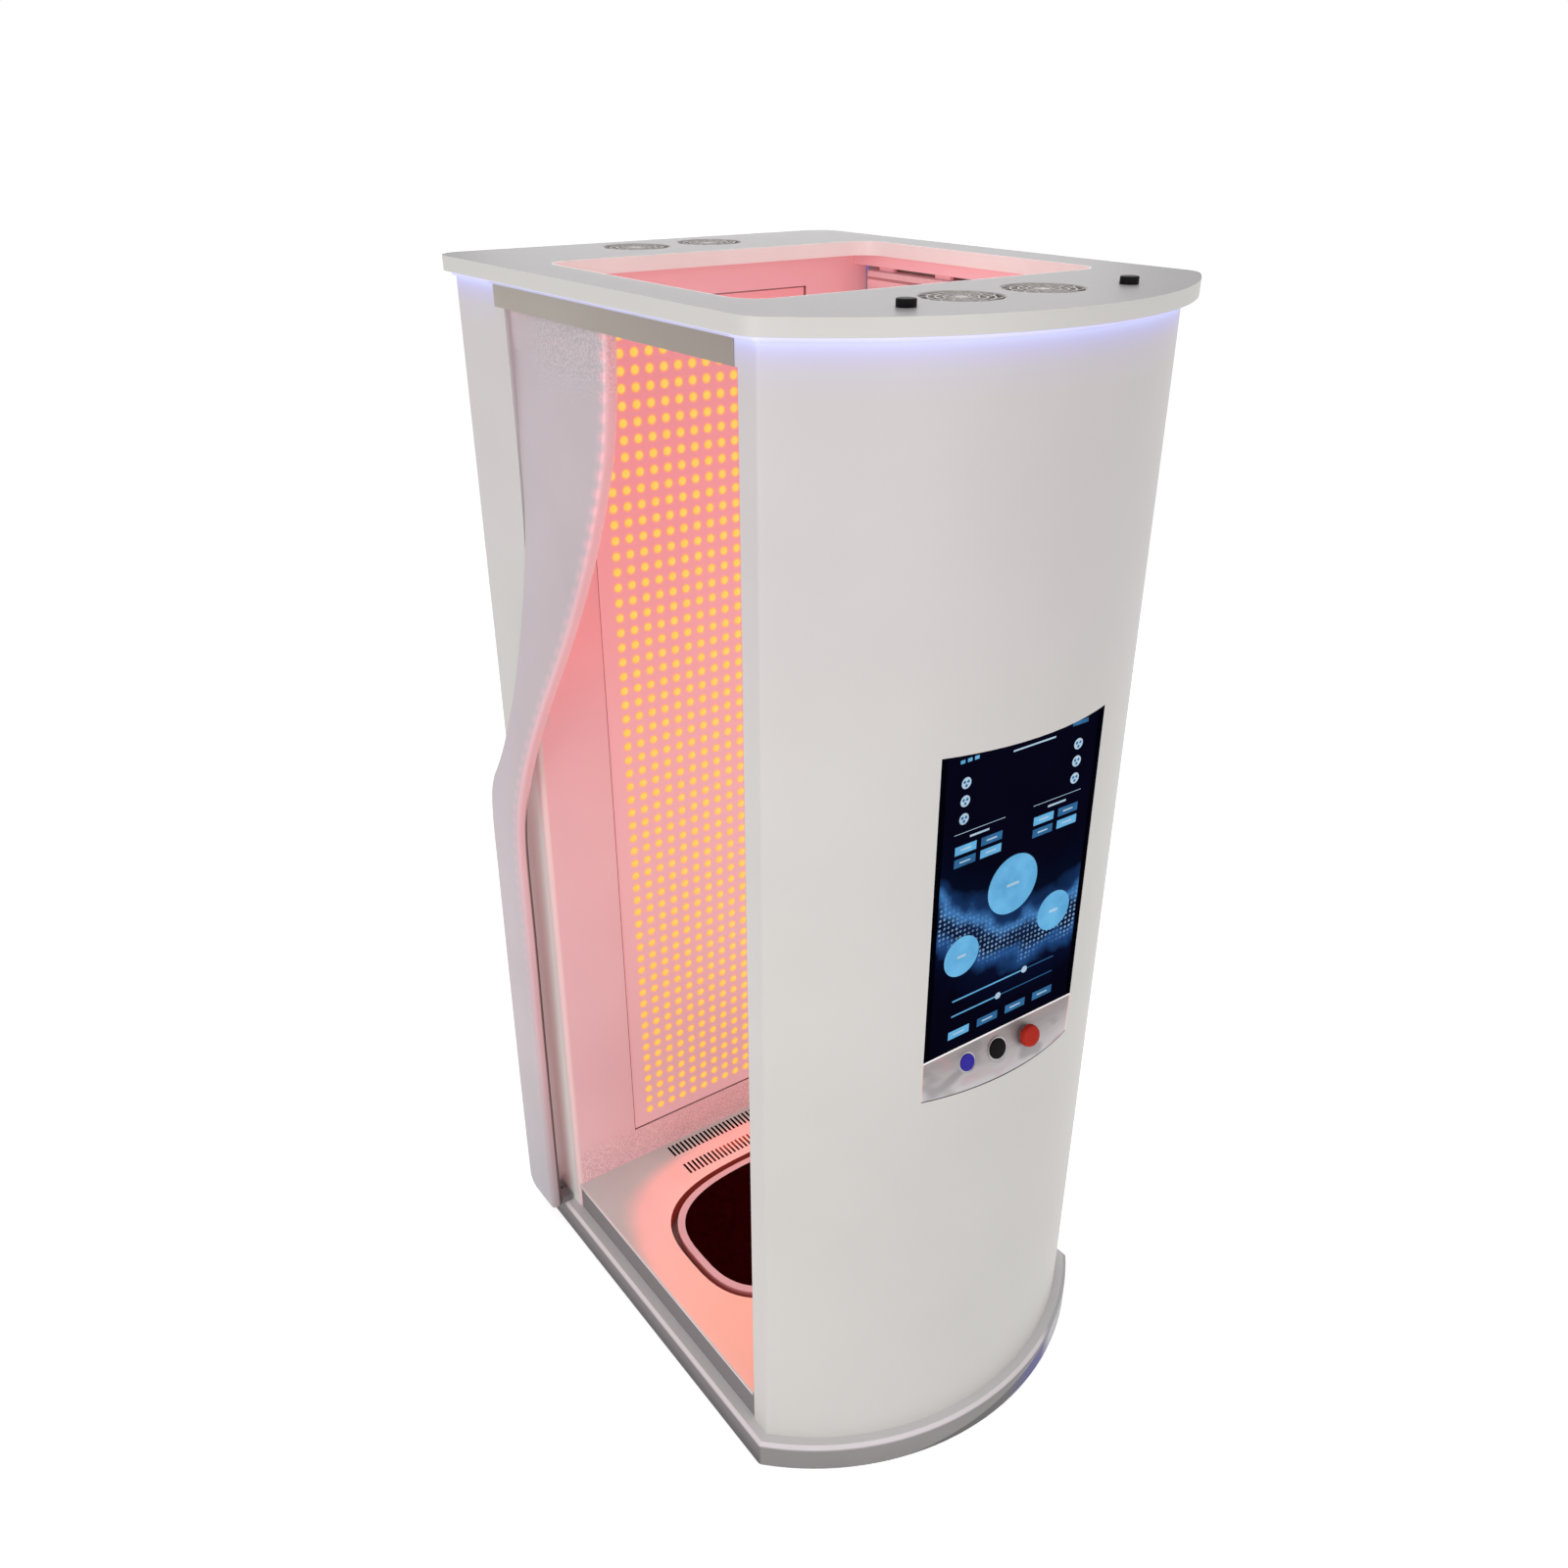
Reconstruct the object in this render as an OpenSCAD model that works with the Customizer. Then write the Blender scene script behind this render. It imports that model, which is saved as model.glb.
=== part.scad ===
/* [Plan] */
// Distance from the middle of the booth to the flat back and to the apex of the bow
pod_reach = 533; // [520:1:545]
// Half the width across the straight sides of the pods
pod_half_w = 392; // [384:1:404]
// Radius of the bowed end, seen from above
bow_r = 550; // [530:1:590]
// Radius of the pods' upright outer edges
pod_edge_r = 12; // [8:1:20]
// Depth of the pod at the flat back, as far as the cabin
back_pod_depth = 155; // [145:1:170]
// Clear width of each doorway, from pod to pod
door_w = 698; // [660:1:710]
// Radius of the upright edges beside the doorways
jamb_edge_r = 10; // [6:1:12]
// Wall of the pods' moulded shells
shell_t = 4; // [3:0.5:6]

/* [Heights] */
// Height of the plinth's ledge above the ground
plinth_h = 60; // [52:1:72]
// Height of the cabin floor above the ground
floor_h = 126; // [118:1:140]
// Height of the pods, up to the underside of the top plate
pod_top = 2070; // [2040:1:2120]
// Thickness of the top plate
plate_t = 24; // [18:1:30]
// Height of the header rail over each doorway
header_h = 44; // [36:1:52]

/* [Plinth] */
// How far the plinth stands out past the pods
plinth_out = 25; // [20:1:30]
// Height of the bevel along the plinth's upper edge
plinth_bevel = 10; // [6:1:14]
// Radius of the plinth's upright edges
plinth_edge_r = 14; // [8:1:24]
// Wall of the plinth's skirt
skirt_t = 10; // [8:1:14]
// Thickness of the plinth's base plate
base_t = 6; // [4:1:8]
// Gap between the ground and the skirt, which the feet leave
foot_gap = 2; // [1:0.5:6]

/* [Top plate] */
// How far the top plate stands out past the pods
plate_out = 24; // [18:1:30]
// Radius of the plate's corners at the bow
plate_bow_corner_r = 55; // [30:1:70]
// Radius of the plate's corners at the back
plate_back_corner_r = 50; // [30:1:70]
// Length of the light opening, along the booth
skylight_l = 575; // [520:1:600]
// Width of the light opening, across the booth
skylight_w = 664; // [600:1:680]
// Radius of the light opening's corners
skylight_r = 45; // [30:1:60]
// Wall of the glowing liner round the light opening
liner_t = 3; // [2:0.5:5]
// Height of the light strip under the plate's edge
strip_h = 8; // [6:1:12]
// Depth of the light strip under the plate's edge
strip_w = 6; // [4:1:9]

/* [Fans] */
// Side of a square fan frame
fan_size = 120; // [110:1:124]
// Depth of a fan frame
fan_depth = 25; // [22:1:30]
// Half the distance between the two fans of a pair
fan_half_pitch = 76; // [70:1:90]
// Distance from the cabin wall to the fans' centre line in the bow pod
bow_fan_in = 69; // [67:1:80]
// Distance from the cabin wall to the fans' centre line in the back pod
back_fan_in = 79; // [78:1:84]
// Diameter of the fan openings in the top plate
fan_bore = 120; // [112:1:124]
// Number of blades on a fan
fan_blades = 7; // [5:1:9]
// Radius of the pin that a fan turns on
fan_pin_r = 3; // [2:0.5:4]
// Diameter of the round caps on the top plate
cap_d = 27; // [20:1:32]
// Height of the round caps on the top plate
cap_h = 10.5; // [8:0.5:14]

/* [Floor] */
// Thickness of the cabin floor sheet
deck_t = 4; // [3:0.5:6]
// Half length of the standing mat, along the booth
mat_half_l = 183; // [160:1:190]
// Half width of the standing mat, across the booth
mat_half_w = 279; // [250:1:285]
// Width of the ring round the standing mat
ring_w = 15; // [10:1:18]
// Groove between the lifting platform and the floor
groove_w = 14; // [10:1:16]
// Squareness of the platform's rounded outline
platform_power = 2.95; // [2.3:0.05:3.6]
// How far the platform rises
lift_travel = 60; // [40:5:65]
// Length of one slot in the air grilles
vent_l = 36; // [28:1:38]
// Width of one slot in the air grilles
vent_w = 5.5; // [4:0.5:7]
// Distance from slot to slot in the air grilles
vent_pitch = 11.1; // [10:0.1:14]
// Number of slots in one row of an air grille
vent_count = 30; // [20:1:30]

/* [Light walls] */
// Half the width of a light panel
led_half_w = 240; // [230:1:250]
// Height of a light panel's lower edge above the ground
led_bottom = 210; // [190:1:215]
// Distance from a light panel's upper edge to the top of the pod
led_top_gap = 54; // [50:1:80]
// Distance from lamp to lamp, both ways
led_pitch = 30; // [29:0.5:31]
// Least distance from the outermost lamps to the panel's edges
led_margin = 40; // [30:1:60]
// Radius of one lamp's lens
led_r = 7; // [5:0.5:9]

/* [Leaves] */
// Thickness of a sliding leaf
leaf_t = 26; // [22:1:30]
// Gap between the leaf's foot and the plinth's edge
leaf_gap = 7; // [5:1:12]
// How far the top of the leaf lies behind the pods' sides
leaf_inset = 9; // [9:1:12]
// Height at which the leaf starts to swing out, going down
leaf_bend_top = 1740; // [1680:10:1760]
// Height below which the leaf hangs straight outside the plinth
leaf_bend_low = 1050; // [1000:10:1100]
// How far the leaf slides along its track
leaf_travel = 340; // [300:5:345]

/* [Controls] */
// Width of the screen and the button strip below it
screen_w = 340; // [320:1:360]
// Height of the screen's lower edge above the ground
screen_bottom = 940; // [900:1:980]
// Height of the screen
screen_h = 549; // [520:1:580]
// Height of the button strip below the screen
strip_panel_h = 82; // [76:1:95]
// Distance from button to button
button_pitch = 67; // [60:1:75]
// Place of the middle button across the booth
button_mid_y = -13; // [-20:1:10]
// Diameter of the blue button
blue_d = 30; // [26:1:34]
// Diameter of the black button
black_d = 36; // [30:1:38]
// Diameter of the red stop button's head
stop_d = 40; // [36:1:44]
// Travel of the two push buttons
push_travel = 2.5; // [2:0.5:4]
// Travel of the stop button
stop_travel = 5; // [4:0.5:6]

/* [Hidden] */
$fn = 96;

WHITE = "#d5d2ce";
STEEL = "#8e8a8a";
ZINC = "#a9adb0";
TAUPE = "#a0978b";
LILAC = "#c3b9be";
PINK = "#e5a9ad";
AMBER = "#ffc95a";
BLACK = "#26242a";

// A cut runs this far past the surface that it opens
over = 1;
// Gap between parts that move past each other
run_gap = 0.3;
// Radial play of a shaft in its bearing
shaft_play = 0.05;

bow_x = pod_reach - bow_r;
back_wall_x = back_pod_depth - pod_reach;
bow_wall_x = back_wall_x + door_w;
cabin_x = (back_wall_x + bow_wall_x) / 2;
deck_under = floor_h - deck_t;
plate_top = pod_top + plate_t;
header_z = pod_top - header_h;

// Smooth step from 0 to 1
function ease(t) = let (u = min(max(t, 0), 1)) u * u * (3 - 2 * u);

// Smooth curve through [height, value] points, flat past both ends
function slope(p, i) = i == 0 || i == len(p) - 1 ? 0
    : (p[i + 1][1] - p[i - 1][1]) / (p[i + 1][0] - p[i - 1][0]);
function span_of(p, z, i = 0) = i >= len(p) - 2 || z < p[i + 1][0] ? i : span_of(p, z, i + 1);
function along(p, z) = z <= p[0][0] ? p[0][1] : z >= p[len(p) - 1][0] ? p[len(p) - 1][1]
    : let (i = span_of(p, z), h = p[i + 1][0] - p[i][0], t = (z - p[i][0]) / h)
      (2 * t * t * t - 3 * t * t + 1) * p[i][1] + (t * t * t - 2 * t * t + t) * h * slope(p, i)
      + (3 * t * t - 2 * t * t * t) * p[i + 1][1] + (t * t * t - t * t) * h * slope(p, i + 1);

// Points of an arc, seen in its own plane
function arc(cx, cy, r, a0, a1, n = 8) = [for (i = [0 : n]) let (a = a0 + (a1 - a0) * i / n)
    [cx + r * cos(a), cy + r * sin(a)]];

// The same piece on both sides of the booth
module both_sides() {
    children();
    mirror([0, 1, 0]) children();
}

// Front pieces are drawn on the -Y side and mirrored for the rear doorway
module on_side(rear) {
    if (rear) mirror([0, 1, 0]) children();
    else children();
}

// A wall's own frame: +X runs from the cabin into the pod
module into_back() { translate([back_wall_x, 0, 0]) mirror([1, 0, 0]) children(); }
module into_bow() { translate([bow_wall_x, 0, 0]) children(); }

// An upright profile drawn in the X-Z plane, from y0 to y1
module side_cut(y0, y1, points) {
    translate([0, y1, 0]) rotate([90, 0, 0]) linear_extrude(y1 - y0) polygon(points);
}

// An upright profile drawn in the Y-Z plane, from x0 to x1
module end_cut(x0, x1, points) {
    translate([x0, 0, 0]) rotate([90, 0, 90]) linear_extrude(x1 - x0) polygon(points);
}

// A block given by its lowest and highest corners
module block(low, high) { translate(low) cube(high - low); }

// Block with rounded upright edges
module round_block(low, high, r) {
    block([low[0] + r, low[1], low[2]], [high[0] - r, high[1], high[2]]);
    block([low[0], low[1] + r, low[2]], [high[0], high[1] - r, high[2]]);
    for (x = [low[0] + r, high[0] - r], y = [low[1] + r, high[1] - r])
        translate([x, y, low[2]]) cylinder(r = r, h = high[2] - low[2]);
}

// The booth's plan, grown outwards: flat back, straight sides, bowed end
module plan_block(grow, z0, z1, bow_corner, back_corner) {
    w = pod_half_w + grow;
    r = bow_r + grow;
    back = -pod_reach - grow;
    tip_y = w - bow_corner;
    tip_x = bow_x + sqrt(pow(r - bow_corner, 2) - tip_y * tip_y);
    corner_x = bow_x + sqrt(r * r - w * w);
    end_x = bow_x + (tip_x - bow_x) * (r + 3) / (r - bow_corner);
    end_y = tip_y * (r + 3) / (r - bow_corner);
    difference() {
        union() {
            block([back, -w, z0], [bow_x, w, z1]);
            intersection() {
                translate([bow_x, 0, z0]) cylinder(r = r, h = z1 - z0);
                block([bow_x, -w, z0], [bow_x + r, w, z1]);
            }
        }
        both_sides() {
            difference() {
                translate([0, 0, z0 - over]) linear_extrude(z1 - z0 + 2 * over)
                    polygon([[tip_x, tip_y], [tip_x, w + 3], [corner_x + 3, w + 3], [end_x, end_y]]);
                translate([tip_x, tip_y, z0 - 2 * over])
                    cylinder(r = bow_corner, h = z1 - z0 + 4 * over);
            }
            difference() {
                block([back - 3, w - back_corner, z0 - over], [back + back_corner, w + 3, z1 + over]);
                translate([back + back_corner, w - back_corner, z0 - 2 * over])
                    cylinder(r = back_corner, h = z1 - z0 + 4 * over);
            }
        }
    }
}

// Rounded upright edge beside a doorway, taken off a pod's corner; +X points into the pod
module jamb_cut(z0, z1) {
    both_sides() difference() {
        block([-over, pod_half_w - jamb_edge_r, z0], [jamb_edge_r, pod_half_w + over, z1]);
        translate([jamb_edge_r, pod_half_w - jamb_edge_r, z0 - over])
            cylinder(r = jamb_edge_r, h = z1 - z0 + 2 * over);
    }
}

// The plinth
bevel_in = plinth_bevel * 0.75;
bevel_z = plinth_h - plinth_bevel;
plinth_half_w = pod_half_w + plinth_out;
plinth_back = -pod_reach - plinth_out;
plinth_r = bow_r + plinth_out;
skirt_in_r = 8;
column_r = 60;
column_wall = 6;
foot_xy = [[-480, 340], [-170, 360], [170, 360], [420, 290]];
foot_r = 24;
foot_h = 12;
foot_stem_r = 5;
foot_nut_r = 11;
foot_nut_h = 8;
cable_hole_r = 30;
cable_hole_xy = [for (x = [back_wall_x - 60, bow_wall_x + 45], y = [-240, 240]) [x, y]];

module plinth_body() {
    plan_block(plinth_out, foot_gap, bevel_z, plinth_edge_r, plinth_edge_r);
    intersection() {
        plan_block(plinth_out, bevel_z, plinth_h, plinth_edge_r, plinth_edge_r);
        union() {
            block([plinth_back, -plinth_half_w, bevel_z], [bow_x, plinth_half_w, plinth_h]);
            translate([bow_x, 0, bevel_z])
                cylinder(r1 = plinth_r, r2 = plinth_r - bevel_in, h = plinth_bevel);
        }
        end_cut(plinth_back, bow_x + plinth_r, [
            [-plinth_half_w, bevel_z], [plinth_half_w, bevel_z],
            [plinth_half_w - bevel_in, plinth_h], [bevel_in - plinth_half_w, plinth_h]]);
        side_cut(-plinth_half_w, plinth_half_w, [
            [plinth_back, bevel_z], [bow_x + plinth_r, bevel_z],
            [bow_x + plinth_r, plinth_h], [plinth_back + bevel_in, plinth_h]]);
    }
}

module plinth_tray() {
    color(STEEL) difference() {
        plinth_body();
        plan_block(plinth_out - skirt_t, foot_gap - over, plinth_h - base_t, skirt_in_r, skirt_in_r);
        translate([cabin_x, 0, 0]) cylinder(r = column_r, h = plinth_h + over);
        for (p = cable_hole_xy) translate([p[0], p[1], plinth_h - base_t - over])
            cylinder(r = cable_hole_r, h = base_t + 2 * over);
    }
}

module levelling_feet() {
    under = plinth_h - base_t;
    color(BLACK) both_sides() for (p = foot_xy) translate([p[0], p[1], 0]) {
        cylinder(r1 = foot_r, r2 = foot_r - 4, h = foot_h);
        cylinder(r = foot_stem_r, h = under);
        translate([0, 0, under - foot_nut_h]) cylinder(r = foot_nut_r, h = foot_nut_h, $fn = 6);
    }
}

// The cabin floor: tube rails along the doorways, and bearers from rail to rail
rail_w = 25;
rail_in = pod_half_w - 27 - rail_w;
rail_wall = 2;
bearer_in = 60;
bearer_half = 8;
duct_wall = 2;
duct_x0 = 4;
duct_x1 = 50;
duct_rim = 10;
deck_fold = 3;
collar_h = 30;
ring_half_l = mat_half_l + ring_w;
ring_half_w = mat_half_w + ring_w;
cut_half_l = ring_half_l + groove_w;
cut_half_w = ring_half_w + groove_w;
vent_row_1 = 11;
vent_row_2 = 81;
vent_half_w = (vent_count * vent_pitch) / 2;
trim_w = 3;
trim_h = 6;
deck_half_w = pod_half_w - 1 - trim_w;

function superellipse(a, b, n = 72) = [for (i = [0 : n - 1]) let (t = 360 * i / n, c = cos(t), s = sin(t))
    [a * sign(c) * pow(abs(c), 2 / platform_power), b * sign(s) * pow(abs(s), 2 / platform_power)]];

module oval(a, b, z0, z1) {
    translate([cabin_x, 0, z0]) linear_extrude(z1 - z0) polygon(superellipse(a, b));
}

module floor_frame() {
    color(ZINC) {
        both_sides() difference() {
            block([back_wall_x + 4, rail_in, plinth_h], [bow_wall_x - 4, rail_in + rail_w, deck_under]);
            block([back_wall_x, rail_in + rail_wall, plinth_h + rail_wall],
                [bow_wall_x, rail_in + rail_w - rail_wall, deck_under - rail_wall]);
        }
        for (x = [back_wall_x + bearer_in, bow_wall_x - bearer_in])
            block([x - bearer_half, -rail_in, plinth_h], [x + bearer_half, rail_in, deck_under]);
    }
}

// Air boxes below the slots, one at each light wall
module floor_ducts() {
    color(ZINC) for (m = [0, 1]) translate([cabin_x, 0, 0]) mirror([m, 0, 0]) translate([-door_w / 2, 0, 0])
        difference() {
            block([duct_x0, -vent_half_w - duct_rim, plinth_h],
                [duct_x1, vent_half_w + duct_rim, deck_under]);
            block([duct_x0 + duct_wall, duct_wall - vent_half_w - duct_rim, plinth_h + duct_wall],
                [duct_x1 - duct_wall, vent_half_w + duct_rim - duct_wall, deck_under + over]);
        }
}

module vent_rows() {
    for (m = [0, 1]) translate([cabin_x, 0, 0]) mirror([m, 0, 0]) translate([-door_w / 2, 0, 0])
        for (row = [vent_row_1, vent_row_2], i = [0 : vent_count - 1])
            translate([row, (i + 0.5) * vent_pitch - vent_half_w - vent_w / 2, deck_under - over])
                cube([vent_l, vent_w, deck_t + 2 * over]);
}

module floor_deck() {
    color(PINK) {
        difference() {
            block([back_wall_x, -deck_half_w, deck_under], [bow_wall_x, deck_half_w, floor_h]);
            oval(cut_half_l, cut_half_w, deck_under - over, floor_h + over);
            vent_rows();
        }
        difference() {
            oval(cut_half_l + deck_fold, cut_half_w + deck_fold, deck_under - collar_h, deck_under);
            oval(cut_half_l, cut_half_w, deck_under - collar_h - over, deck_under + over);
        }
        both_sides()
            block([back_wall_x, deck_half_w - deck_fold, plinth_h], [bow_wall_x, deck_half_w, deck_under]);
    }
}

module floor_edge_trims() {
    color("#ffe3e0") both_sides()
        block([back_wall_x, deck_half_w, floor_h - trim_h], [bow_wall_x, deck_half_w + trim_w, floor_h]);
}

// The lifting platform
tray_t = 6;
ring_h = 22;
mat_t = 4;
ring_z = floor_h - ring_h;
tray_z = floor_h - mat_t - tray_t;
flange_t = 5;
flange_r = 85;
column_floor = 8;
column_top = tray_z - flange_t;
inner_r = column_r - column_wall - shaft_play;
inner_wall = 6;
actuator_r = 24;
rod_r = 10;
// Length of rod that stays in the actuator with the platform up
rod_held = 28;

module lift_column_outer() {
    color(ZINC) translate([cabin_x, 0, 0]) difference() {
        union() {
            translate([0, 0, column_floor]) cylinder(r = column_r, h = column_top - 2 - column_floor);
            translate([0, 0, plinth_h]) cylinder(r = flange_r, h = flange_t);
        }
        translate([0, 0, column_floor + 4]) cylinder(r = column_r - column_wall, h = column_top);
    }
}

module lift_column_inner() {
    color("#c9ccce") translate([cabin_x, 0, 0]) {
        difference() {
            translate([0, 0, column_floor + 6]) cylinder(r = inner_r, h = column_top - column_floor - 6);
            translate([0, 0, column_floor + 5]) cylinder(r = inner_r - inner_wall, h = column_top);
        }
        translate([0, 0, column_top]) cylinder(r = flange_r, h = flange_t);
    }
}

module lift_actuator() {
    foot = column_floor + 4;
    color(BLACK) translate([cabin_x, 0, foot]) difference() {
        cylinder(r = actuator_r, h = column_top - 6 - foot);
        translate([0, 0, 6]) cylinder(r = rod_r + shaft_play, h = column_top);
    }
}

module lift_rod() {
    rod_l = lift_travel + rod_held;
    color("#d8dadb") translate([cabin_x, 0, column_top - rod_l]) cylinder(r = rod_r, h = rod_l);
}

module platform_tray() {
    color(ZINC) oval(mat_half_l, mat_half_w, tray_z, tray_z + tray_t);
}

module platform_ring() {
    color(PINK) difference() {
        oval(ring_half_l, ring_half_w, ring_z, floor_h);
        oval(mat_half_l, mat_half_w, ring_z - over, floor_h + over);
    }
}

module standing_mat() {
    color(BLACK) oval(mat_half_l, mat_half_w, tray_z + tray_t, floor_h);
}

// The sliding leaves
leaf_out = plinth_half_w + leaf_gap + leaf_t;
leaf_top_y = pod_half_w - leaf_inset;
leaf_lean = 7;
leaf_foot = plinth_h - 3;
leaf_head = pod_top - 30;
leaf_foot_r = 35;
leaf_head_r = 12;
seam = 3;
nesting_z = 1400;

// Distance of the leaf's outer face from the middle of the booth
function leaf_y(z) = leaf_top_y + leaf_lean * ease((header_z - z) / 300)
    + (leaf_out - leaf_top_y - leaf_lean) * ease((leaf_bend_top - z) / (leaf_bend_top - leaf_bend_low));

// The leaf's two upright edges: height, then distance from the back wall along the booth
leaf_left_edge = [[leaf_foot, -148], [1000, -128], [1090, -121], [1140, -108], [1195, -72],
    [1250, -44], [1360, -7], [1508, 17], [1710, 35], [leaf_head, 36]];
leaf_right_edge = [[leaf_foot, -29], [485, -24], [800, -16], [1000, -13], [1080, -3], [1150, 15],
    [1240, 48], [1345, 95], [1490, 171], [1680, 260], [1820, 318], [1920, 336], [leaf_head, 343]];
function leaf_left(z) = back_wall_x + along(leaf_left_edge, z);
function leaf_right(z) = back_wall_x + along(leaf_right_edge, z);

leaf_band_z = concat([leaf_foot], [for (z = [leaf_bend_low - 20 : 30 : header_z]) z], [leaf_head]);
leaf_edge_z = concat([for (z = [200 : 200 : 800]) z],
    [for (z = [920 : 30 : leaf_head - leaf_head_r - 20]) z]);

module leaf() {
    n = len(leaf_band_z) - 1;
    m = len(leaf_edge_z) - 1;
    low_left = leaf_foot + leaf_foot_r;
    head_z = leaf_head - leaf_head_r;
    intersection() {
        end_cut(-pod_reach - 40, bow_wall_x, concat(
            [for (z = leaf_band_z) [-leaf_y(z), z]],
            [for (i = [n : -1 : 0]) [leaf_t - leaf_y(leaf_band_z[i]), leaf_band_z[i]]]));
        side_cut(-leaf_out - 10, leaf_t - leaf_top_y + 10, concat(
            [[leaf_right(leaf_foot), leaf_foot]],
            [for (z = leaf_edge_z) [leaf_right(z), z]],
            arc(leaf_right(head_z) - leaf_head_r, head_z, leaf_head_r, 0, 90),
            [[leaf_left(leaf_head), leaf_head]],
            [for (i = [m : -1 : 0]) [leaf_left(leaf_edge_z[i]), leaf_edge_z[i]]],
            arc(leaf_left(low_left) + leaf_foot_r, low_left, leaf_foot_r, 180, 270)));
    }
}

module front_leaf() { color(LILAC) leaf(); }
module rear_leaf() { color(LILAC) on_side(true) leaf(); }

// Part of the pod's side that reaches past the cabin wall and follows the leaf's edge
module jamb_lip() {
    inner = back_wall_x - jamb_edge_r - over;
    both_sides() side_cut(-pod_half_w, shell_t - pod_half_w, concat(
        [[inner, nesting_z - 20], [back_wall_x - jamb_edge_r, nesting_z - 20], [back_wall_x, nesting_z]],
        [for (z = [nesting_z + 20 : 30 : header_z - 1]) [max(back_wall_x, leaf_left(z) - seam), z]],
        [[leaf_left(header_z) - seam, header_z], [back_wall_x, header_z],
            [back_wall_x, pod_top - strip_h], [inner, pod_top - strip_h]]));
}

// The track over each doorway, its carriages and the glides at the leaf's foot
track_y = leaf_top_y - leaf_t / 2;
track_half = 18;
track_h = 22;
track_t = 3;
track_slot = 10;
glide_half = track_half - track_t - run_gap;
carriage_l = 60;
carriage_in = [45, 105];
carriage_x = [leaf_left(leaf_head) + carriage_in[0], leaf_right(leaf_head) - carriage_in[1]];
stop_l = 6;
stop_h = 8;

module track() {
    z0 = pod_top - track_h;
    difference() {
        block([back_wall_x + 1, -track_y - track_half, z0], [bow_wall_x - 1, track_half - track_y, pod_top]);
        block([back_wall_x - over, track_t - track_half - track_y, z0 + track_t],
            [bow_wall_x + over, track_half - track_t - track_y, pod_top - track_t]);
        block([back_wall_x - over, -track_y - track_slot / 2, z0 - over],
            [bow_wall_x + over, track_slot / 2 - track_y, z0 + track_t + over]);
    }
    for (x = [carriage_x[0] - carriage_l / 2 - run_gap - stop_l,
            carriage_x[1] + carriage_l / 2 + leaf_travel + run_gap])
        block([x, track_t - track_half - track_y, pod_top - track_t - stop_h],
            [x + stop_l, track_half - track_t - track_y, pod_top - track_t]);
}

module front_track() { color(PINK) track(); }
module rear_track() { color(PINK) on_side(true) track(); }

module hangers() {
    z0 = pod_top - track_h + track_t + run_gap;
    z1 = pod_top - track_t - run_gap;
    for (x = carriage_x) translate([x, -track_y, 0]) {
        block([-carriage_l / 2, -glide_half, z0], [carriage_l / 2, glide_half, z1]);
        block([-carriage_l / 3, 1 - track_slot / 2, leaf_head], [carriage_l / 3, track_slot / 2 - 1, z0]);
    }
}

module front_hangers() { color("#e9e7e2") hangers(); }
module rear_hangers() { color("#e9e7e2") on_side(true) hangers(); }

// Nylon blocks on the leaf's inner face that run over the plinth's ledge
glide_gap = 6;
glide_h = 16;
glide_l = 30;
glide_in = [60, 20];
glide_x = [leaf_left(leaf_foot) + glide_in[0], leaf_right(leaf_foot) - glide_in[1]];

module glides() {
    face = leaf_out - leaf_t;
    for (x = glide_x) block([x - glide_l / 2, -face, plinth_h + run_gap],
        [x + glide_l / 2, -pod_half_w - glide_gap, plinth_h + glide_h]);
}

module front_glides() { color("#e9e7e2") glides(); }
module rear_glides() { color("#e9e7e2") on_side(true) glides(); }

// The header rail over a doorway: a folded sheet
header_t = 3;
header_d = 5;
header_out = 1;

module header() {
    y = pod_half_w + header_out;
    color(TAUPE) difference() {
        block([back_wall_x, -y, header_z], [bow_wall_x, header_d - y, pod_top]);
        block([back_wall_x - over, header_t - y, header_z + header_t],
            [bow_wall_x + over, header_d - y + over, pod_top - header_t]);
    }
}

module front_header() { header(); }
module rear_header() { on_side(true) header(); }

// The pod at the flat back
flange_w = 30;
wall_t = 3;
inner_edge_r = pod_edge_r - shell_t;
service_half_w = 300;
service_foot = 50;
service_head = 170;
service_low = plinth_h + service_foot;
service_high = pod_top - service_head;
service_lip = 16;
service_t = 2;
screw_r = 2.2;
screw_head_r = 5;
screw_in = 8;
screw_z = [for (i = [0 : 4]) service_low + screw_in + i * (service_high - service_low - 2 * screw_in) / 4];

module inner_wall_seat() {
    block([-over, -pod_half_w + jamb_edge_r, plinth_h - over],
        [wall_t, pod_half_w - jamb_edge_r, pod_top + over]);
    block([-over, flange_w - pod_half_w + jamb_edge_r, plinth_h - over],
        [wall_t + shell_t, pod_half_w - jamb_edge_r - flange_w, pod_top + over]);
}

module service_screw_shanks(r, x0, x1) {
    both_sides() for (z = screw_z) translate([x0, service_half_w - screw_in, z])
        rotate([0, 90, 0]) cylinder(r = r, h = x1 - x0);
}

module back_shell() {
    color(WHITE) {
        difference() {
            intersection() {
                plan_block(0, plinth_h, pod_top, pod_edge_r, pod_edge_r);
                block([-pod_reach, -pod_half_w, plinth_h], [back_wall_x, pod_half_w, pod_top]);
            }
            intersection() {
                plan_block(-shell_t, plinth_h - over, pod_top + over, inner_edge_r, inner_edge_r);
                block([-pod_reach, -pod_half_w, plinth_h - over],
                    [back_wall_x - wall_t - shell_t, pod_half_w, pod_top + over]);
            }
            into_back() inner_wall_seat();
            into_back() jamb_cut(plinth_h - over, pod_top + over);
            block([-pod_reach - over, service_lip - service_half_w, service_low + service_lip],
                [shell_t - pod_reach + over, service_half_w - service_lip, service_high - service_lip]);
            service_screw_shanks(screw_r, -pod_reach - over, -pod_reach + shell_t + over);
        }
        jamb_lip();
    }
}

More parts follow.
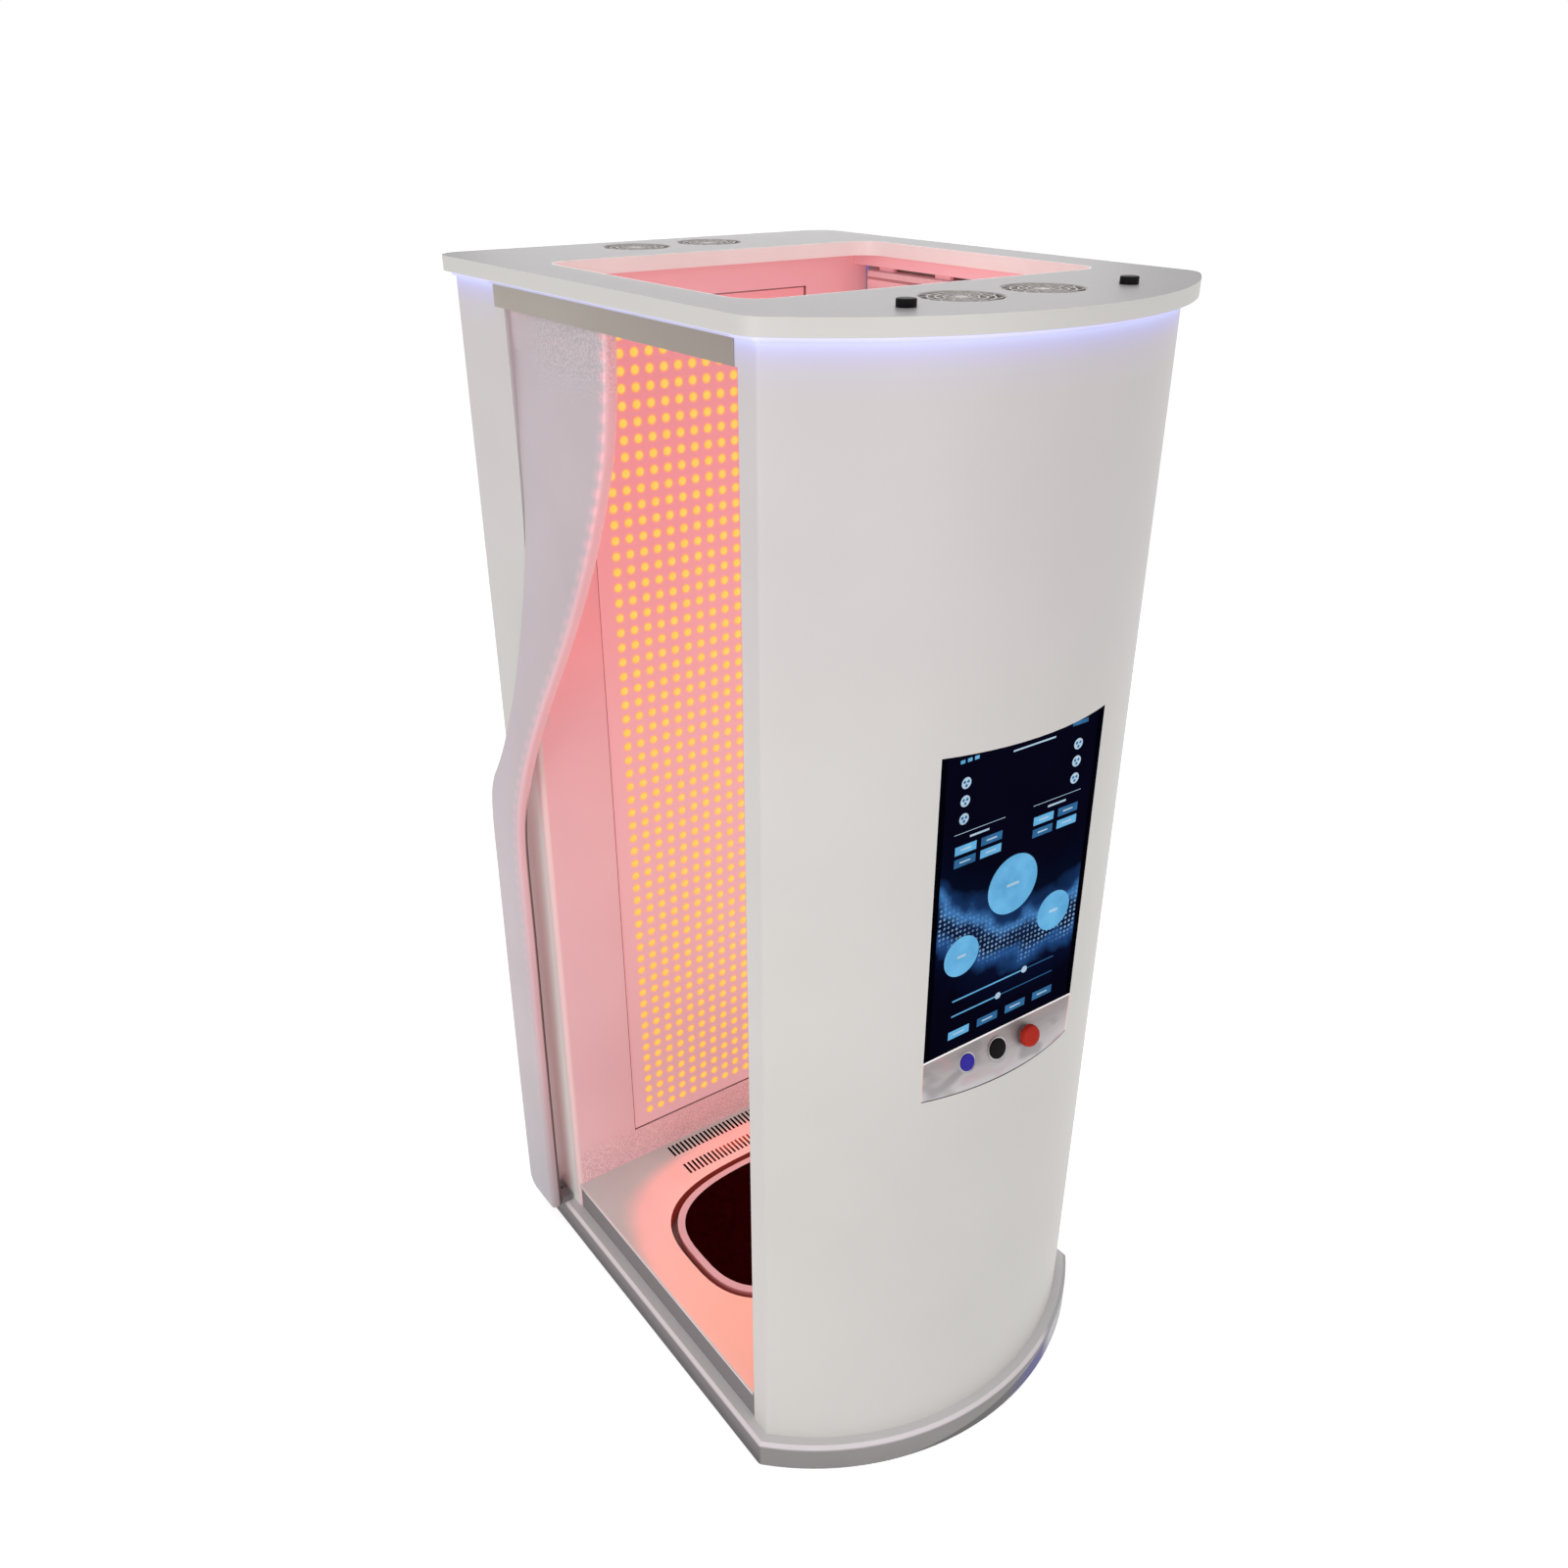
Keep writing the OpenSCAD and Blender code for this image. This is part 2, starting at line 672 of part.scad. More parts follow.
inlet_y = 200;
inlet_z = 190;
inlet_w = 54;
inlet_h = 36;
inlet_rim = 9;
inlet_rim_h = 7;
inlet_l = 30;
socket_w = 40;
socket_h = 24;
socket_l = 20;
pin_yz = [[-12, 0], [12, 0], [0, 5]];
pin_w = 7;
pin_h = 3;
louvre_l = 160;
louvre_h = 6;
louvre_y = 170;
louvre_pitch = 16;
louvre_count = 14;
louvre_foot = 150;
louvre_head = 340;
louvre_z = [service_low + louvre_foot, service_high - louvre_head];

module service_panel() {
    x = -pod_reach;
    color(WHITE) difference() {
        block([x - service_t, -service_half_w, service_low], [x, service_half_w, service_high]);
        for (z = louvre_z, y = [-louvre_y, louvre_y], i = [0 : louvre_count - 1])
            block([x - service_t - over, y - louvre_l / 2, z + louvre_pitch * i],
                [x + over, y + louvre_l / 2, z + louvre_pitch * i + louvre_h]);
        block([x - service_t - over, inlet_y - inlet_w / 2, inlet_z - inlet_h / 2],
            [x + over, inlet_y + inlet_w / 2, inlet_z + inlet_h / 2]);
        service_screw_shanks(screw_r, x - service_t - over, x + over);
    }
}

module service_screws() {
    x = -pod_reach - service_t;
    color("#8c8f92") {
        service_screw_shanks(screw_head_r, x - 1.6, x);
        service_screw_shanks(screw_r, x - 1, -pod_reach + shell_t);
    }
}

module power_inlet() {
    x = -pod_reach - service_t;
    color(BLACK) {
        difference() {
            union() {
                block([x - 2, inlet_y - inlet_w / 2 - inlet_rim, inlet_z - inlet_h / 2 - inlet_rim_h],
                    [x, inlet_y + inlet_w / 2 + inlet_rim, inlet_z + inlet_h / 2 + inlet_rim_h]);
                block([x, inlet_y - inlet_w / 2, inlet_z - inlet_h / 2],
                    [x + inlet_l, inlet_y + inlet_w / 2, inlet_z + inlet_h / 2]);
            }
            block([x - 2 - over, inlet_y - socket_w / 2, inlet_z - socket_h / 2],
                [x + socket_l, inlet_y + socket_w / 2, inlet_z + socket_h / 2]);
        }
        for (p = pin_yz) block([x + 2, inlet_y + p[0] - pin_w / 2, inlet_z + p[1] - pin_h / 2],
            [x + socket_l + 0.5, inlet_y + p[0] + pin_w / 2, inlet_z + p[1] + pin_h / 2]);
    }
}

supply_z = [320, 760, 1200];
supply_d = 50;
supply_h = 215;
supply_gap = 8;

module power_supplies() {
    x = -pod_reach + shell_t;
    color(ZINC) both_sides() for (z = supply_z)
        block([x, service_half_w - service_lip + supply_gap, z],
            [x + supply_d, pod_half_w - shell_t - supply_gap, z + supply_h]);
}

// Each pod's uprights and ties, and the light wall that they carry
upright = 30;
upright_wall = 2;
upright_in = 32;
// Least gap between the uprights' outer corners and the shells
upright_gap = 5;
upright_far = bow_wall_x + upright_in + upright - bow_x;
upright_y = min(pod_half_w - shell_t - upright_gap,
    sqrt(pow(bow_r - shell_t - upright_gap, 2) - upright_far * upright_far)) - upright;
tie = 20;
tie_z = [plinth_h + 60, (plinth_h + pod_top) / 2, pod_top - 90];

module pod_frame() {
    color(ZINC) {
        both_sides() difference() {
            block([upright_in, upright_y, plinth_h], [upright_in + upright, upright_y + upright, pod_top]);
            block([upright_in + upright_wall, upright_y + upright_wall, plinth_h - over],
                [upright_in + upright - upright_wall, upright_y + upright - upright_wall, pod_top + over]);
        }
        for (z = tie_z) block([upright_in, -upright_y, z], [upright_in + tie, upright_y, z + tie]);
    }
}

module back_frame() { into_back() pod_frame(); }
module bow_frame() { into_bow() pod_frame(); }

led_top = pod_top - led_top_gap;
board_gap = 2;
board_in = 4;
board_t = 4;
sink_rim = 12;
lens_t = 1;
sink_t = 3;
fin_count = 16;
fin_pitch = 30;
fin_t = 3;
fin_h = 12;
led_columns = floor((2 * led_half_w - 2 * led_margin) / led_pitch) + 1;
led_rows = floor((led_top - led_bottom - 2 * led_margin) / led_pitch) + 1;
// The lamps' field sits this much below the middle of the panel
lamp_drop = 7;

module inner_wall() {
    color(PINK) difference() {
        block([0, -pod_half_w + jamb_edge_r, plinth_h], [wall_t, pod_half_w - jamb_edge_r, pod_top]);
        block([-over, -led_half_w, led_bottom], [wall_t + over, led_half_w, led_top]);
    }
}

module led_board() {
    color("#f3b6b0") block([board_in + lens_t, board_gap - led_half_w, led_bottom + board_gap],
        [board_in + board_t, led_half_w - board_gap, led_top - board_gap]);
}

// One moulded cover over the whole panel, with a raised lens over each lamp
module led_lenses() {
    y0 = -(led_columns - 1) * led_pitch / 2;
    z0 = (led_bottom + led_top) / 2 - (led_rows - 1) * led_pitch / 2 - lamp_drop;
    color(AMBER) {
        block([board_in, board_gap - led_half_w, led_bottom + board_gap],
            [board_in + lens_t, led_half_w - board_gap, led_top - board_gap]);
        for (i = [0 : led_columns - 1], k = [0 : led_rows - 1])
            translate([board_in - lens_t, y0 + i * led_pitch, z0 + k * led_pitch])
                rotate([0, 90, 0]) cylinder(r = led_r, h = lens_t, $fn = 16);
    }
}

module heat_sink() {
    x = board_in + board_t;
    color("#9b9ea1") {
        block([x, -led_half_w - sink_rim, led_bottom - sink_rim],
            [x + sink_t, led_half_w + sink_rim, led_top + sink_rim]);
        difference() {
            block([wall_t, -led_half_w - sink_rim, led_bottom - sink_rim],
                [x, led_half_w + sink_rim, led_top + sink_rim]);
            block([wall_t - over, -led_half_w, led_bottom], [x + over, led_half_w, led_top]);
        }
        for (i = [0 : fin_count - 1]) let (y = (i - (fin_count - 1) / 2) * fin_pitch)
            block([x + sink_t, y - fin_t / 2, led_bottom], [x + sink_t + fin_h, y + fin_t / 2, led_top]);
    }
}

module back_inner_wall() { into_back() inner_wall(); }
module back_led_board() { into_back() led_board(); }
module back_led_lenses() { into_back() led_lenses(); }
module back_heat_sink() { into_back() heat_sink(); }
module bow_inner_wall() { into_bow() inner_wall(); }
module bow_led_board() { into_bow() led_board(); }
module bow_led_lenses() { into_bow() led_lenses(); }
module bow_heat_sink() { into_bow() heat_sink(); }

// The bowed pod with its screen
screen_half_w = screen_w / 2;
screen_top = screen_bottom + screen_h;
screen_x = bow_x + sqrt(bow_r * bow_r - screen_half_w * screen_half_w);
panel_low = screen_bottom - strip_panel_h;
glass_t = 4;
surround_t = 8;
surround_rim = 15;
surround_lap = 10;
display_t = 36;

module bow_shell() {
    color(WHITE) difference() {
        intersection() {
            plan_block(0, plinth_h, pod_top, pod_edge_r, pod_edge_r);
            block([bow_wall_x, -pod_half_w, plinth_h], [pod_reach, pod_half_w, pod_top]);
        }
        intersection() {
            plan_block(-shell_t, plinth_h - over, pod_top + over, inner_edge_r, inner_edge_r);
            block([bow_wall_x + wall_t + shell_t, -pod_half_w, plinth_h - over],
                [pod_reach, pod_half_w, pod_top + over]);
        }
        into_bow() inner_wall_seat();
        into_bow() jamb_cut(plinth_h - over, header_z);
        block([screen_x - 40, -screen_half_w, panel_low], [pod_reach + over, screen_half_w, screen_top]);
    }
}

// Space inside the bowed wall
module inside_bow(z0, z1) {
    translate([bow_x, 0, z0]) cylinder(r = bow_r - shell_t, h = z1 - z0);
}

module screen_surround() {
    x0 = screen_x - glass_t - surround_t;
    y1 = screen_half_w + surround_rim;
    color("#a5a1a0") intersection() {
        difference() {
            block([x0, -y1, screen_bottom - surround_lap], [pod_reach, y1, screen_top + 6]);
            block([x0 - over, surround_lap - screen_half_w, screen_bottom + surround_lap],
                [pod_reach + over, screen_half_w - surround_lap, screen_top - surround_lap]);
            block([screen_x - glass_t, -y1 - over, panel_low], [pod_reach + over, y1 + over, screen_top]);
        }
        inside_bow(panel_low, pod_top);
    }
}

module screen_glass() {
    color("#070718") block([screen_x - glass_t, 0.5 - screen_half_w, screen_bottom + 0.5],
        [screen_x, screen_half_w - 0.5, screen_top - 0.5]);
}

module display_module() {
    rim = surround_lap + 0.5;
    color(BLACK) block([screen_x - glass_t - display_t, rim - screen_half_w, screen_bottom + rim],
        [screen_x - glass_t, screen_half_w - rim, screen_top - rim]);
}

bracket_half_h = 15;
bracket_t = 15;
bracket_in = 110;
arm_y = screen_half_w - 40;
arm_half_w = 10;

module display_bracket() {
    x0 = bow_wall_x + upright_in + upright;
    x1 = screen_x - glass_t - display_t;
    y = upright_y + upright / 2;
    color(ZINC) for (z = [screen_bottom + bracket_in, screen_top - bracket_in]) {
        block([x0, -y, z - bracket_half_h], [x0 + bracket_t, y, z + bracket_half_h]);
        for (s = [-arm_y, arm_y]) block([x0 + bracket_t, s - arm_half_w, z - bracket_half_h],
            [x1, s + arm_half_w, z + bracket_half_h]);
    }
}

box_x = bow_wall_x + 70;
box_d = 80;
box_half_w = 120;
box_h = 200;
cooling_slots = 8;
cooling_half_l = 100;
cooling_pitch = 18;
cooling_h = 6;

module control_box() {
    color(ZINC) difference() {
        block([box_x, -box_half_w, plinth_h], [box_x + box_d, box_half_w, plinth_h + box_h]);
        for (i = [0 : cooling_slots - 1]) let (z = plinth_h + 30 + cooling_pitch * i)
            block([box_x - over, -cooling_half_l, z], [box_x + 3, cooling_half_l, z + cooling_h]);
    }
}

// The button strip: a straight top edge that opens into the bow's curve below
button_tilt = 16.5;
button_z = panel_low + strip_panel_h * 0.61;
stop_stem_r = 10;
stop_head_h = 12;
plunger_r = 4;
bezel_w = 3;
bezel_out = 2;
bezel_sunk = 2;
cap_gap = 0.3;
// Depths below the strip's face: a cap's skirt, a bezel's collar, a plunger and a switch
cap_depth = 8;
collar_depth = 22;
plunger_depth = 34;
switch_depth = 50;
switch_r = 11;
button_y = [for (i = [-1 : 1]) button_mid_y + i * button_pitch];

// Where the strip's surface lies at a place across and up
function strip_x(y, z) = screen_x + (bow_x + sqrt(bow_r * bow_r - y * y) - screen_x)
    * (screen_bottom - z) / strip_panel_h;

// A button's own frame: +Z points out of the strip
module at_button(i) {
    translate([strip_x(button_y[i], button_z), button_y[i], button_z])
        rotate([0, 90 - button_tilt, 0]) children();
}

// Hole through the strip for a bezel's collar, with a shallow recess for its flange
module bezel_seat(r) {
    translate([0, 0, -switch_depth]) cylinder(r = r + bezel_w - 1, h = 2 * switch_depth);
    translate([0, 0, -bezel_sunk]) cylinder(r = r + bezel_w, h = switch_depth);
}

module button_panel() {
    color("#b5abab") difference() {
        union() {
            hull() {
                intersection() {
                    translate([bow_x, 0, panel_low]) cylinder(r = bow_r, h = 0.5, $fn = 180);
                    block([screen_x, -screen_half_w, panel_low], [pod_reach, screen_half_w, panel_low + 0.5]);
                }
                block([screen_x - 0.5, -screen_half_w, screen_bottom - 0.5],
                    [screen_x, screen_half_w, screen_bottom]);
            }
            block([screen_x - glass_t, -screen_half_w, panel_low], [screen_x, screen_half_w, screen_bottom]);
        }
        at_button(0) bezel_seat(blue_d / 2);
        at_button(1) bezel_seat(black_d / 2);
        at_button(2) bezel_seat(stop_stem_r);
    }
}

// Fixed ring round a button, with a collar through the strip
module bezel(r) {
    difference() {
        union() {
            translate([0, 0, -bezel_sunk]) cylinder(r = r + bezel_w, h = bezel_sunk + bezel_out);
            translate([0, 0, -collar_depth]) cylinder(r = r + bezel_w - 1, h = collar_depth);
        }
        translate([0, 0, -collar_depth - over])
            cylinder(r = r + cap_gap, h = collar_depth + bezel_out + 2 * over);
    }
}

module button_bezels() {
    color(ZINC) {
        at_button(0) bezel(blue_d / 2);
        at_button(1) bezel(black_d / 2);
        at_button(2) bezel(stop_stem_r);
    }
}

// A switch behind its collar, with a bore for the plunger
module switch_body(r) {
    difference() {
        union() {
            translate([0, 0, -switch_depth]) cylinder(r = switch_r, h = switch_depth - collar_depth);
            translate([0, 0, -collar_depth - 1]) cylinder(r = r + bezel_w - 1, h = 1);
        }
        translate([0, 0, 2 - switch_depth]) cylinder(r = plunger_r + shaft_play, h = switch_depth);
    }
}

module switch_bodies() {
    color(BLACK) {
        at_button(0) switch_body(blue_d / 2);
        at_button(1) switch_body(black_d / 2);
        at_button(2) switch_body(stop_stem_r);
    }
}

module plunger() {
    translate([0, 0, -plunger_depth]) cylinder(r = plunger_r, h = plunger_depth - cap_depth + over);
}

module push_cap(r, out) {
    translate([0, 0, -cap_depth]) cylinder(r = r, h = cap_depth + out);
    plunger();
}

module blue_button() { color("#3d35a8") at_button(0) push_cap(blue_d / 2, bezel_out + push_travel); }
module black_button() { color("#2a2224") at_button(1) push_cap(black_d / 2, bezel_out + push_travel); }

module stop_button() {
    color("#d2382c") at_button(2) {
        translate([0, 0, bezel_out + stop_travel + 1])
            cylinder(r1 = stop_d / 2, r2 = stop_d / 2 - 3, h = stop_head_h);
        translate([0, 0, -cap_depth])
            cylinder(r = stop_stem_r, h = cap_depth + bezel_out + stop_travel + 2);
        plunger();
    }
}

// The top plate and what it carries
skylight_x0 = cabin_x + 3.5 - skylight_l / 2;
fan_x = [bow_wall_x + bow_fan_in, back_wall_x - back_fan_in];
fan_places = [for (x = fan_x, s = [-1, 1]) [x, s * fan_half_pitch]];
cap_x = bow_wall_x + 108;
cap_y = 205;

module skylight(grow, z0, z1) {
    round_block([skylight_x0 - grow, -skylight_w / 2 - grow, z0],
        [skylight_x0 + skylight_l + grow, skylight_w / 2 + grow, z1], skylight_r + grow);
}

module top_plate() {
    color(WHITE) difference() {
        plan_block(plate_out, pod_top, plate_top, plate_bow_corner_r, plate_back_corner_r);
        skylight(liner_t, pod_top - over, plate_top + over);
        for (p = fan_places) translate([p[0], p[1], pod_top - over])
            cylinder(r = fan_bore / 2, h = plate_t + 2 * over);
    }
}

module skylight_liner() {
    color("#ffc9c4") difference() {
        skylight(liner_t, pod_top, plate_top);
        skylight(0, pod_top - over, plate_top + over);
    }
}

module accent_light() {
    near_r = pod_edge_r + header_out;
    far_r = near_r + strip_w;
    color("#e8e8ff") difference() {
        plan_block(header_out + strip_w, pod_top - strip_h, pod_top, far_r, far_r);
        plan_block(header_out, pod_top - strip_h - over, pod_top + over, near_r, near_r);
    }
}

module top_caps() {
    color(BLACK) both_sides() translate([cap_x, cap_y, plate_top]) {
        cylinder(d = cap_d, h = cap_h - 1);
        translate([0, 0, cap_h - 1]) cylinder(d1 = cap_d, d2 = cap_d - 2, h = 1);
    }
}

fan_hub_r = 20;
fan_hole_r = fan_size / 2 - 3;
fan_z = pod_top - fan_depth;
fan_base_h = 6;
rotor_z = fan_z + fan_base_h + run_gap;
rotor_h = 14;

module fan_frame() {
    difference() {
        round_block([-fan_size / 2, -fan_size / 2, fan_z], [fan_size / 2, fan_size / 2, pod_top], 6);
        translate([0, 0, fan_z - over]) cylinder(r = fan_hole_r, h = fan_depth + 2 * over);
        for (x = [-1, 1], y = [-1, 1]) translate([x * 0.4375 * fan_size, y * 0.4375 * fan_size, fan_z - over])
            cylinder(r = 2.2, h = fan_depth + 2 * over);
    }
    translate([0, 0, fan_z]) cylinder(r = fan_hub_r, h = fan_base_h);
    translate([0, 0, fan_z]) cylinder(r = fan_pin_r, h = fan_base_h + rotor_h - 2);
    for (a = [45 : 90 : 315]) rotate([0, 0, a])
        block([fan_hub_r - 1, -3, fan_z], [fan_hole_r + 1, 3, fan_z + 4]);
}

module fan_frames() {
    color(BLACK) for (p = fan_places) translate([p[0], p[1], 0]) fan_frame();
}

// A rotor: a capped hub with pitched blades, free of the frame all round
module fan_rotor(i) {
    color(BLACK) translate([fan_places[i][0], fan_places[i][1], rotor_z]) difference() {
        union() {
            cylinder(r = fan_hub_r, h = rotor_h);
            intersection() {
                for (b = [0 : fan_blades - 1]) rotate([0, 0, b * 360 / fan_blades])
                    translate([fan_hub_r - 3, 0, rotor_h / 2]) rotate([32, 0, 0])
                        translate([0, -13, -0.8]) cube([fan_hole_r, 26, 1.6]);
                cylinder(r = fan_hole_r - 2, h = rotor_h);
            }
        }
        translate([0, 0, -over]) cylinder(r = fan_pin_r + shaft_play, h = rotor_h - 1);
    }
}

module fan_rotor_1() { fan_rotor(0); }
module fan_rotor_2() { fan_rotor(1); }
module fan_rotor_3() { fan_rotor(2); }
module fan_rotor_4() { fan_rotor(3); }

grille_bar = 2.4;
grille_rings = [14, 25, 36, 47];
grille_spokes = 12;
swirl_r = 34;

// A pressed finger guard: rings, and bars that swirl out from the middle
module fan_grille() {
    rim_r = fan_bore / 2 - 0.1;
    hub_r = 9;
    translate([0, 0, plate_top - 1 - grille_bar]) {
        for (r = concat(grille_rings, [rim_r])) difference() {
            cylinder(r = r, h = grille_bar);
            translate([0, 0, -over]) cylinder(r = r - grille_bar, h = grille_bar + 2 * over);
        }
        cylinder(r = hub_r, h = grille_bar);
        intersection() {
            for (i = [0 : grille_spokes - 1]) rotate([0, 0, i * 360 / grille_spokes])
                translate([swirl_r, 0, 0.4]) rotate([0, 0, 180]) rotate_extrude(angle = 125)
                    translate([swirl_r - grille_bar / 2, 0]) square([grille_bar, grille_bar - 0.8]);
            cylinder(r = rim_r - 1, h = grille_bar);
        }
    }
}

module fan_grilles() {
    color("#c9c5c3") for (p = fan_places) translate([p[0], p[1], 0]) fan_grille();
}

plinth_tray();
levelling_feet();
floor_frame();
floor_ducts();
floor_deck();
floor_edge_trims();
lift_column_outer();
lift_column_inner();
lift_actuator();
lift_rod();
platform_tray();
platform_ring();
standing_mat();
back_shell();
back_frame();
service_panel();
service_screws();
power_inlet();
power_supplies();
back_inner_wall();
back_led_board();
back_led_lenses();
back_heat_sink();
bow_shell();
bow_frame();
bow_inner_wall();
bow_led_board();
bow_led_lenses();
bow_heat_sink();
screen_surround();
screen_glass();
display_module();
display_bracket();
control_box();
button_panel();
button_bezels();
switch_bodies();
blue_button();
black_button();
stop_button();
front_header();
rear_header();
front_track();
rear_track();
front_leaf();
rear_leaf();
front_hangers();
rear_hangers();
front_glides();
rear_glides();
top_plate();
skylight_liner();
accent_light();
top_caps();
fan_frames();
fan_grilles();
fan_rotor_1();
fan_rotor_2();
fan_rotor_3();
fan_rotor_4();
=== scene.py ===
import math

import bmesh
import bpy
from mathutils import Matrix, Vector


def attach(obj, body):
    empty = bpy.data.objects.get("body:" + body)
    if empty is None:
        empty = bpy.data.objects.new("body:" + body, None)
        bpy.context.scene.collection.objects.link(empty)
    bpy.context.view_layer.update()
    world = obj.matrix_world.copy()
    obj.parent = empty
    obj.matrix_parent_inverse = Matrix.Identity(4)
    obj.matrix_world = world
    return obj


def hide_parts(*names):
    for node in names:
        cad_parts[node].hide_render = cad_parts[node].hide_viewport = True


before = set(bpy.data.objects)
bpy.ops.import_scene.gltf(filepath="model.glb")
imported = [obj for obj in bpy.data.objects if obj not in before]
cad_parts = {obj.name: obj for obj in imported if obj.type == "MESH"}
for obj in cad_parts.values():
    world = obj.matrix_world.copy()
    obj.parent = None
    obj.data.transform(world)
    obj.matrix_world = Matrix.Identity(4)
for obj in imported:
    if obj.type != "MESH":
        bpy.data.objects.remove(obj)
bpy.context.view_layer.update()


# Camera
# The photographer stands off the doorway corner of the bowed end with the camera just above the roof, looking
# down 28 degrees through a wide lens. The small shift is the photograph's own crop.
eye = Vector((1.7872, -1.3728, 2.3194))
gaze = Vector((-0.7137, 0.5151, -0.4745))
camera = bpy.data.objects.new("camera", bpy.data.cameras.new("camera"))
camera.location = eye
camera.rotation_euler = gaze.to_track_quat("-Z", "Y").to_euler()
camera.data.sensor_width = 36
camera.data.lens = 30.86
camera.data.shift_x = -0.0005
camera.data.shift_y = 0.027
camera.data.clip_start = 0.05
bpy.context.scene.collection.objects.link(camera)
bpy.context.scene.camera = camera
bpy.context.scene.view_settings.view_transform = "Standard"


# Studio
# A pale floor and an even white surround, with large soft lamps off the doorway, the bowed end and the far corner
# of the flat end. What the lens, gloss and glass see of the surround and the floor is plain white.
def linear(hex_colour):
    """An sRGB hex colour as linear red, green, blue and alpha."""
    parts = [int(hex_colour[i:i + 2], 16) / 255 for i in (1, 3, 5)]
    return tuple(p / 12.92 if p <= 0.04045 else ((p + 0.055) / 1.055) ** 2.4 for p in parts) + (1.0,)


def add(tree, kind, inputs=None, stops=None, **settings):
    """Adds a shader node. inputs gives each socket a value, a node or one of its outputs, stops a ramp's colours."""
    node = tree.nodes.new("ShaderNode" + kind)
    for name, value in settings.items():
        setattr(node, name, value)
    for socket, value in (inputs or {}).items():
        if isinstance(value, bpy.types.Node):
            value = value.outputs[0]
        if isinstance(value, bpy.types.NodeSocket):
            tree.links.new(value, node.inputs[socket])
        else:
            node.inputs[socket].default_value = value
    if stops:
        while len(node.color_ramp.elements) < len(stops):
            node.color_ramp.elements.new(1.0)
        for element, (place, colour) in zip(node.color_ramp.elements, stops):
            element.position = place
            element.color = linear(colour)
    return node


def plainly_seen(tree):
    """1 where the lens, gloss or glass looks, 0 where light is gathered for a surface."""
    path = add(tree, "LightPath")
    seen = add(tree, "Math", {0: path.outputs["Is Camera Ray"], 1: path.outputs["Is Glossy Ray"]}, operation="MAXIMUM")
    return add(tree, "Math", {0: seen, 1: path.outputs["Is Transmission Ray"]}, operation="MAXIMUM")


def area_lamp(name, place, towards, size, watts):
    """A soft square lamp at this place, shining in this direction."""
    lamp = bpy.data.objects.new(name, bpy.data.lights.new(name, "AREA"))
    lamp.data.size = size
    lamp.data.energy = watts
    lamp.location = place
    lamp.rotation_euler = towards.to_track_quat("-Z", "Y").to_euler()
    bpy.context.scene.collection.objects.link(lamp)
    return lamp


surround = bpy.data.worlds.new("surround")
surround.use_nodes = True
bpy.context.scene.world = surround
sky = surround.node_tree
sky.nodes.clear()
seen = plainly_seen(sky)
soft = add(sky, "Background", {"Color": linear("#FFFFFF"), "Strength": 0.56})
plain = add(sky, "Background", {"Color": linear("#FFFFFF"), "Strength": 1.0})
mixed = add(sky, "MixShader", {0: seen, 1: soft, 2: plain})
add(sky, "OutputWorld", {"Surface": mixed})

studio_floor = bpy.data.materials.new("studio_floor_paint")
studio_floor.use_nodes = True
tree = studio_floor.node_tree
tree.nodes.clear()
seen = plainly_seen(tree)
lift = add(tree, "Math", {0: seen, 1: 0.62}, operation="MULTIPLY")
paint = add(tree, "BsdfDiffuse", {"Color": linear("#E9E9E9")})
glow = add(tree, "Emission", {"Color": linear("#FFFFFF"), "Strength": lift})
both = add(tree, "AddShader", {0: paint, 1: glow})
add(tree, "OutputMaterial", {"Surface": both})

bm = bmesh.new()
bmesh.ops.create_grid(bm, x_segments=1, y_segments=1, size=60)
ground = bpy.data.objects.new("studio_floor", bpy.data.meshes.new("studio_floor"))
bm.to_mesh(ground.data)
bm.free()
ground.data.materials.append(studio_floor)
bpy.context.scene.collection.objects.link(ground)

lamp_size = 3.0
for name, stand, aim, watts in (
    ("doorway_lamp", (0.9, -4.2, 2.0), (0.0, 0.0, 1.1), 56),
    ("bow_lamp", (4.1, -0.5, 1.8), (0.2, 0.0, 1.1), 39),
    ("back_lamp", (-3.6, 2.6, 2.0), (-0.2, 0.0, 1.1), 44),
):
    area_lamp(name, stand, Vector(aim) - Vector(stand), lamp_size, watts)


# Plinth
# A folded steel tray with a 50 mm skirt, a bevelled rim and a base plate, 834 mm wide, in grey powder coat, on
# eight levelling feet shod in black rubber. A painted highlight gives the bevel a thin bright line all round; the
# ledge is painted paler as painted light from above, and the skirt carries painted shade.
def finish(name, colour, **sockets):
    """Starts a material with a plain surface of this colour and returns it, its nodes and its surface."""
    made = bpy.data.materials.new(name)
    made.use_nodes = True
    tree = made.node_tree
    skin = tree.nodes["Principled BSDF"]
    skin.inputs["Base Color"].default_value = linear(colour)
    for socket, value in sockets.items():
        skin.inputs[socket.replace("_", " ")].default_value = value
    return made, tree, skin


def feed(tree, skin, **nodes):
    """Links nodes to sockets of the surface."""
    for socket, node in nodes.items():
        tree.links.new(node.outputs[0], skin.inputs[socket.replace("_", " ")])


def clouded(tree, skin, scale, dim, bright, socket="Base Color"):
    """Gives a surface soft clouds of two near tones and returns the coordinates, their axes and the tone."""
    where = add(tree, "TexCoord").outputs["Object"]
    cloud = add(tree, "TexNoise", {"Vector": where, "Scale": scale, "Detail": 3.0})
    tone = add(tree, "ValToRGB", {0: cloud.outputs["Fac"]}, stops=[(0.3, dim), (0.7, bright)])
    tree.links.new(tone.outputs[0], skin.inputs[socket])
    return where, add(tree, "SeparateXYZ", {0: where}), tone


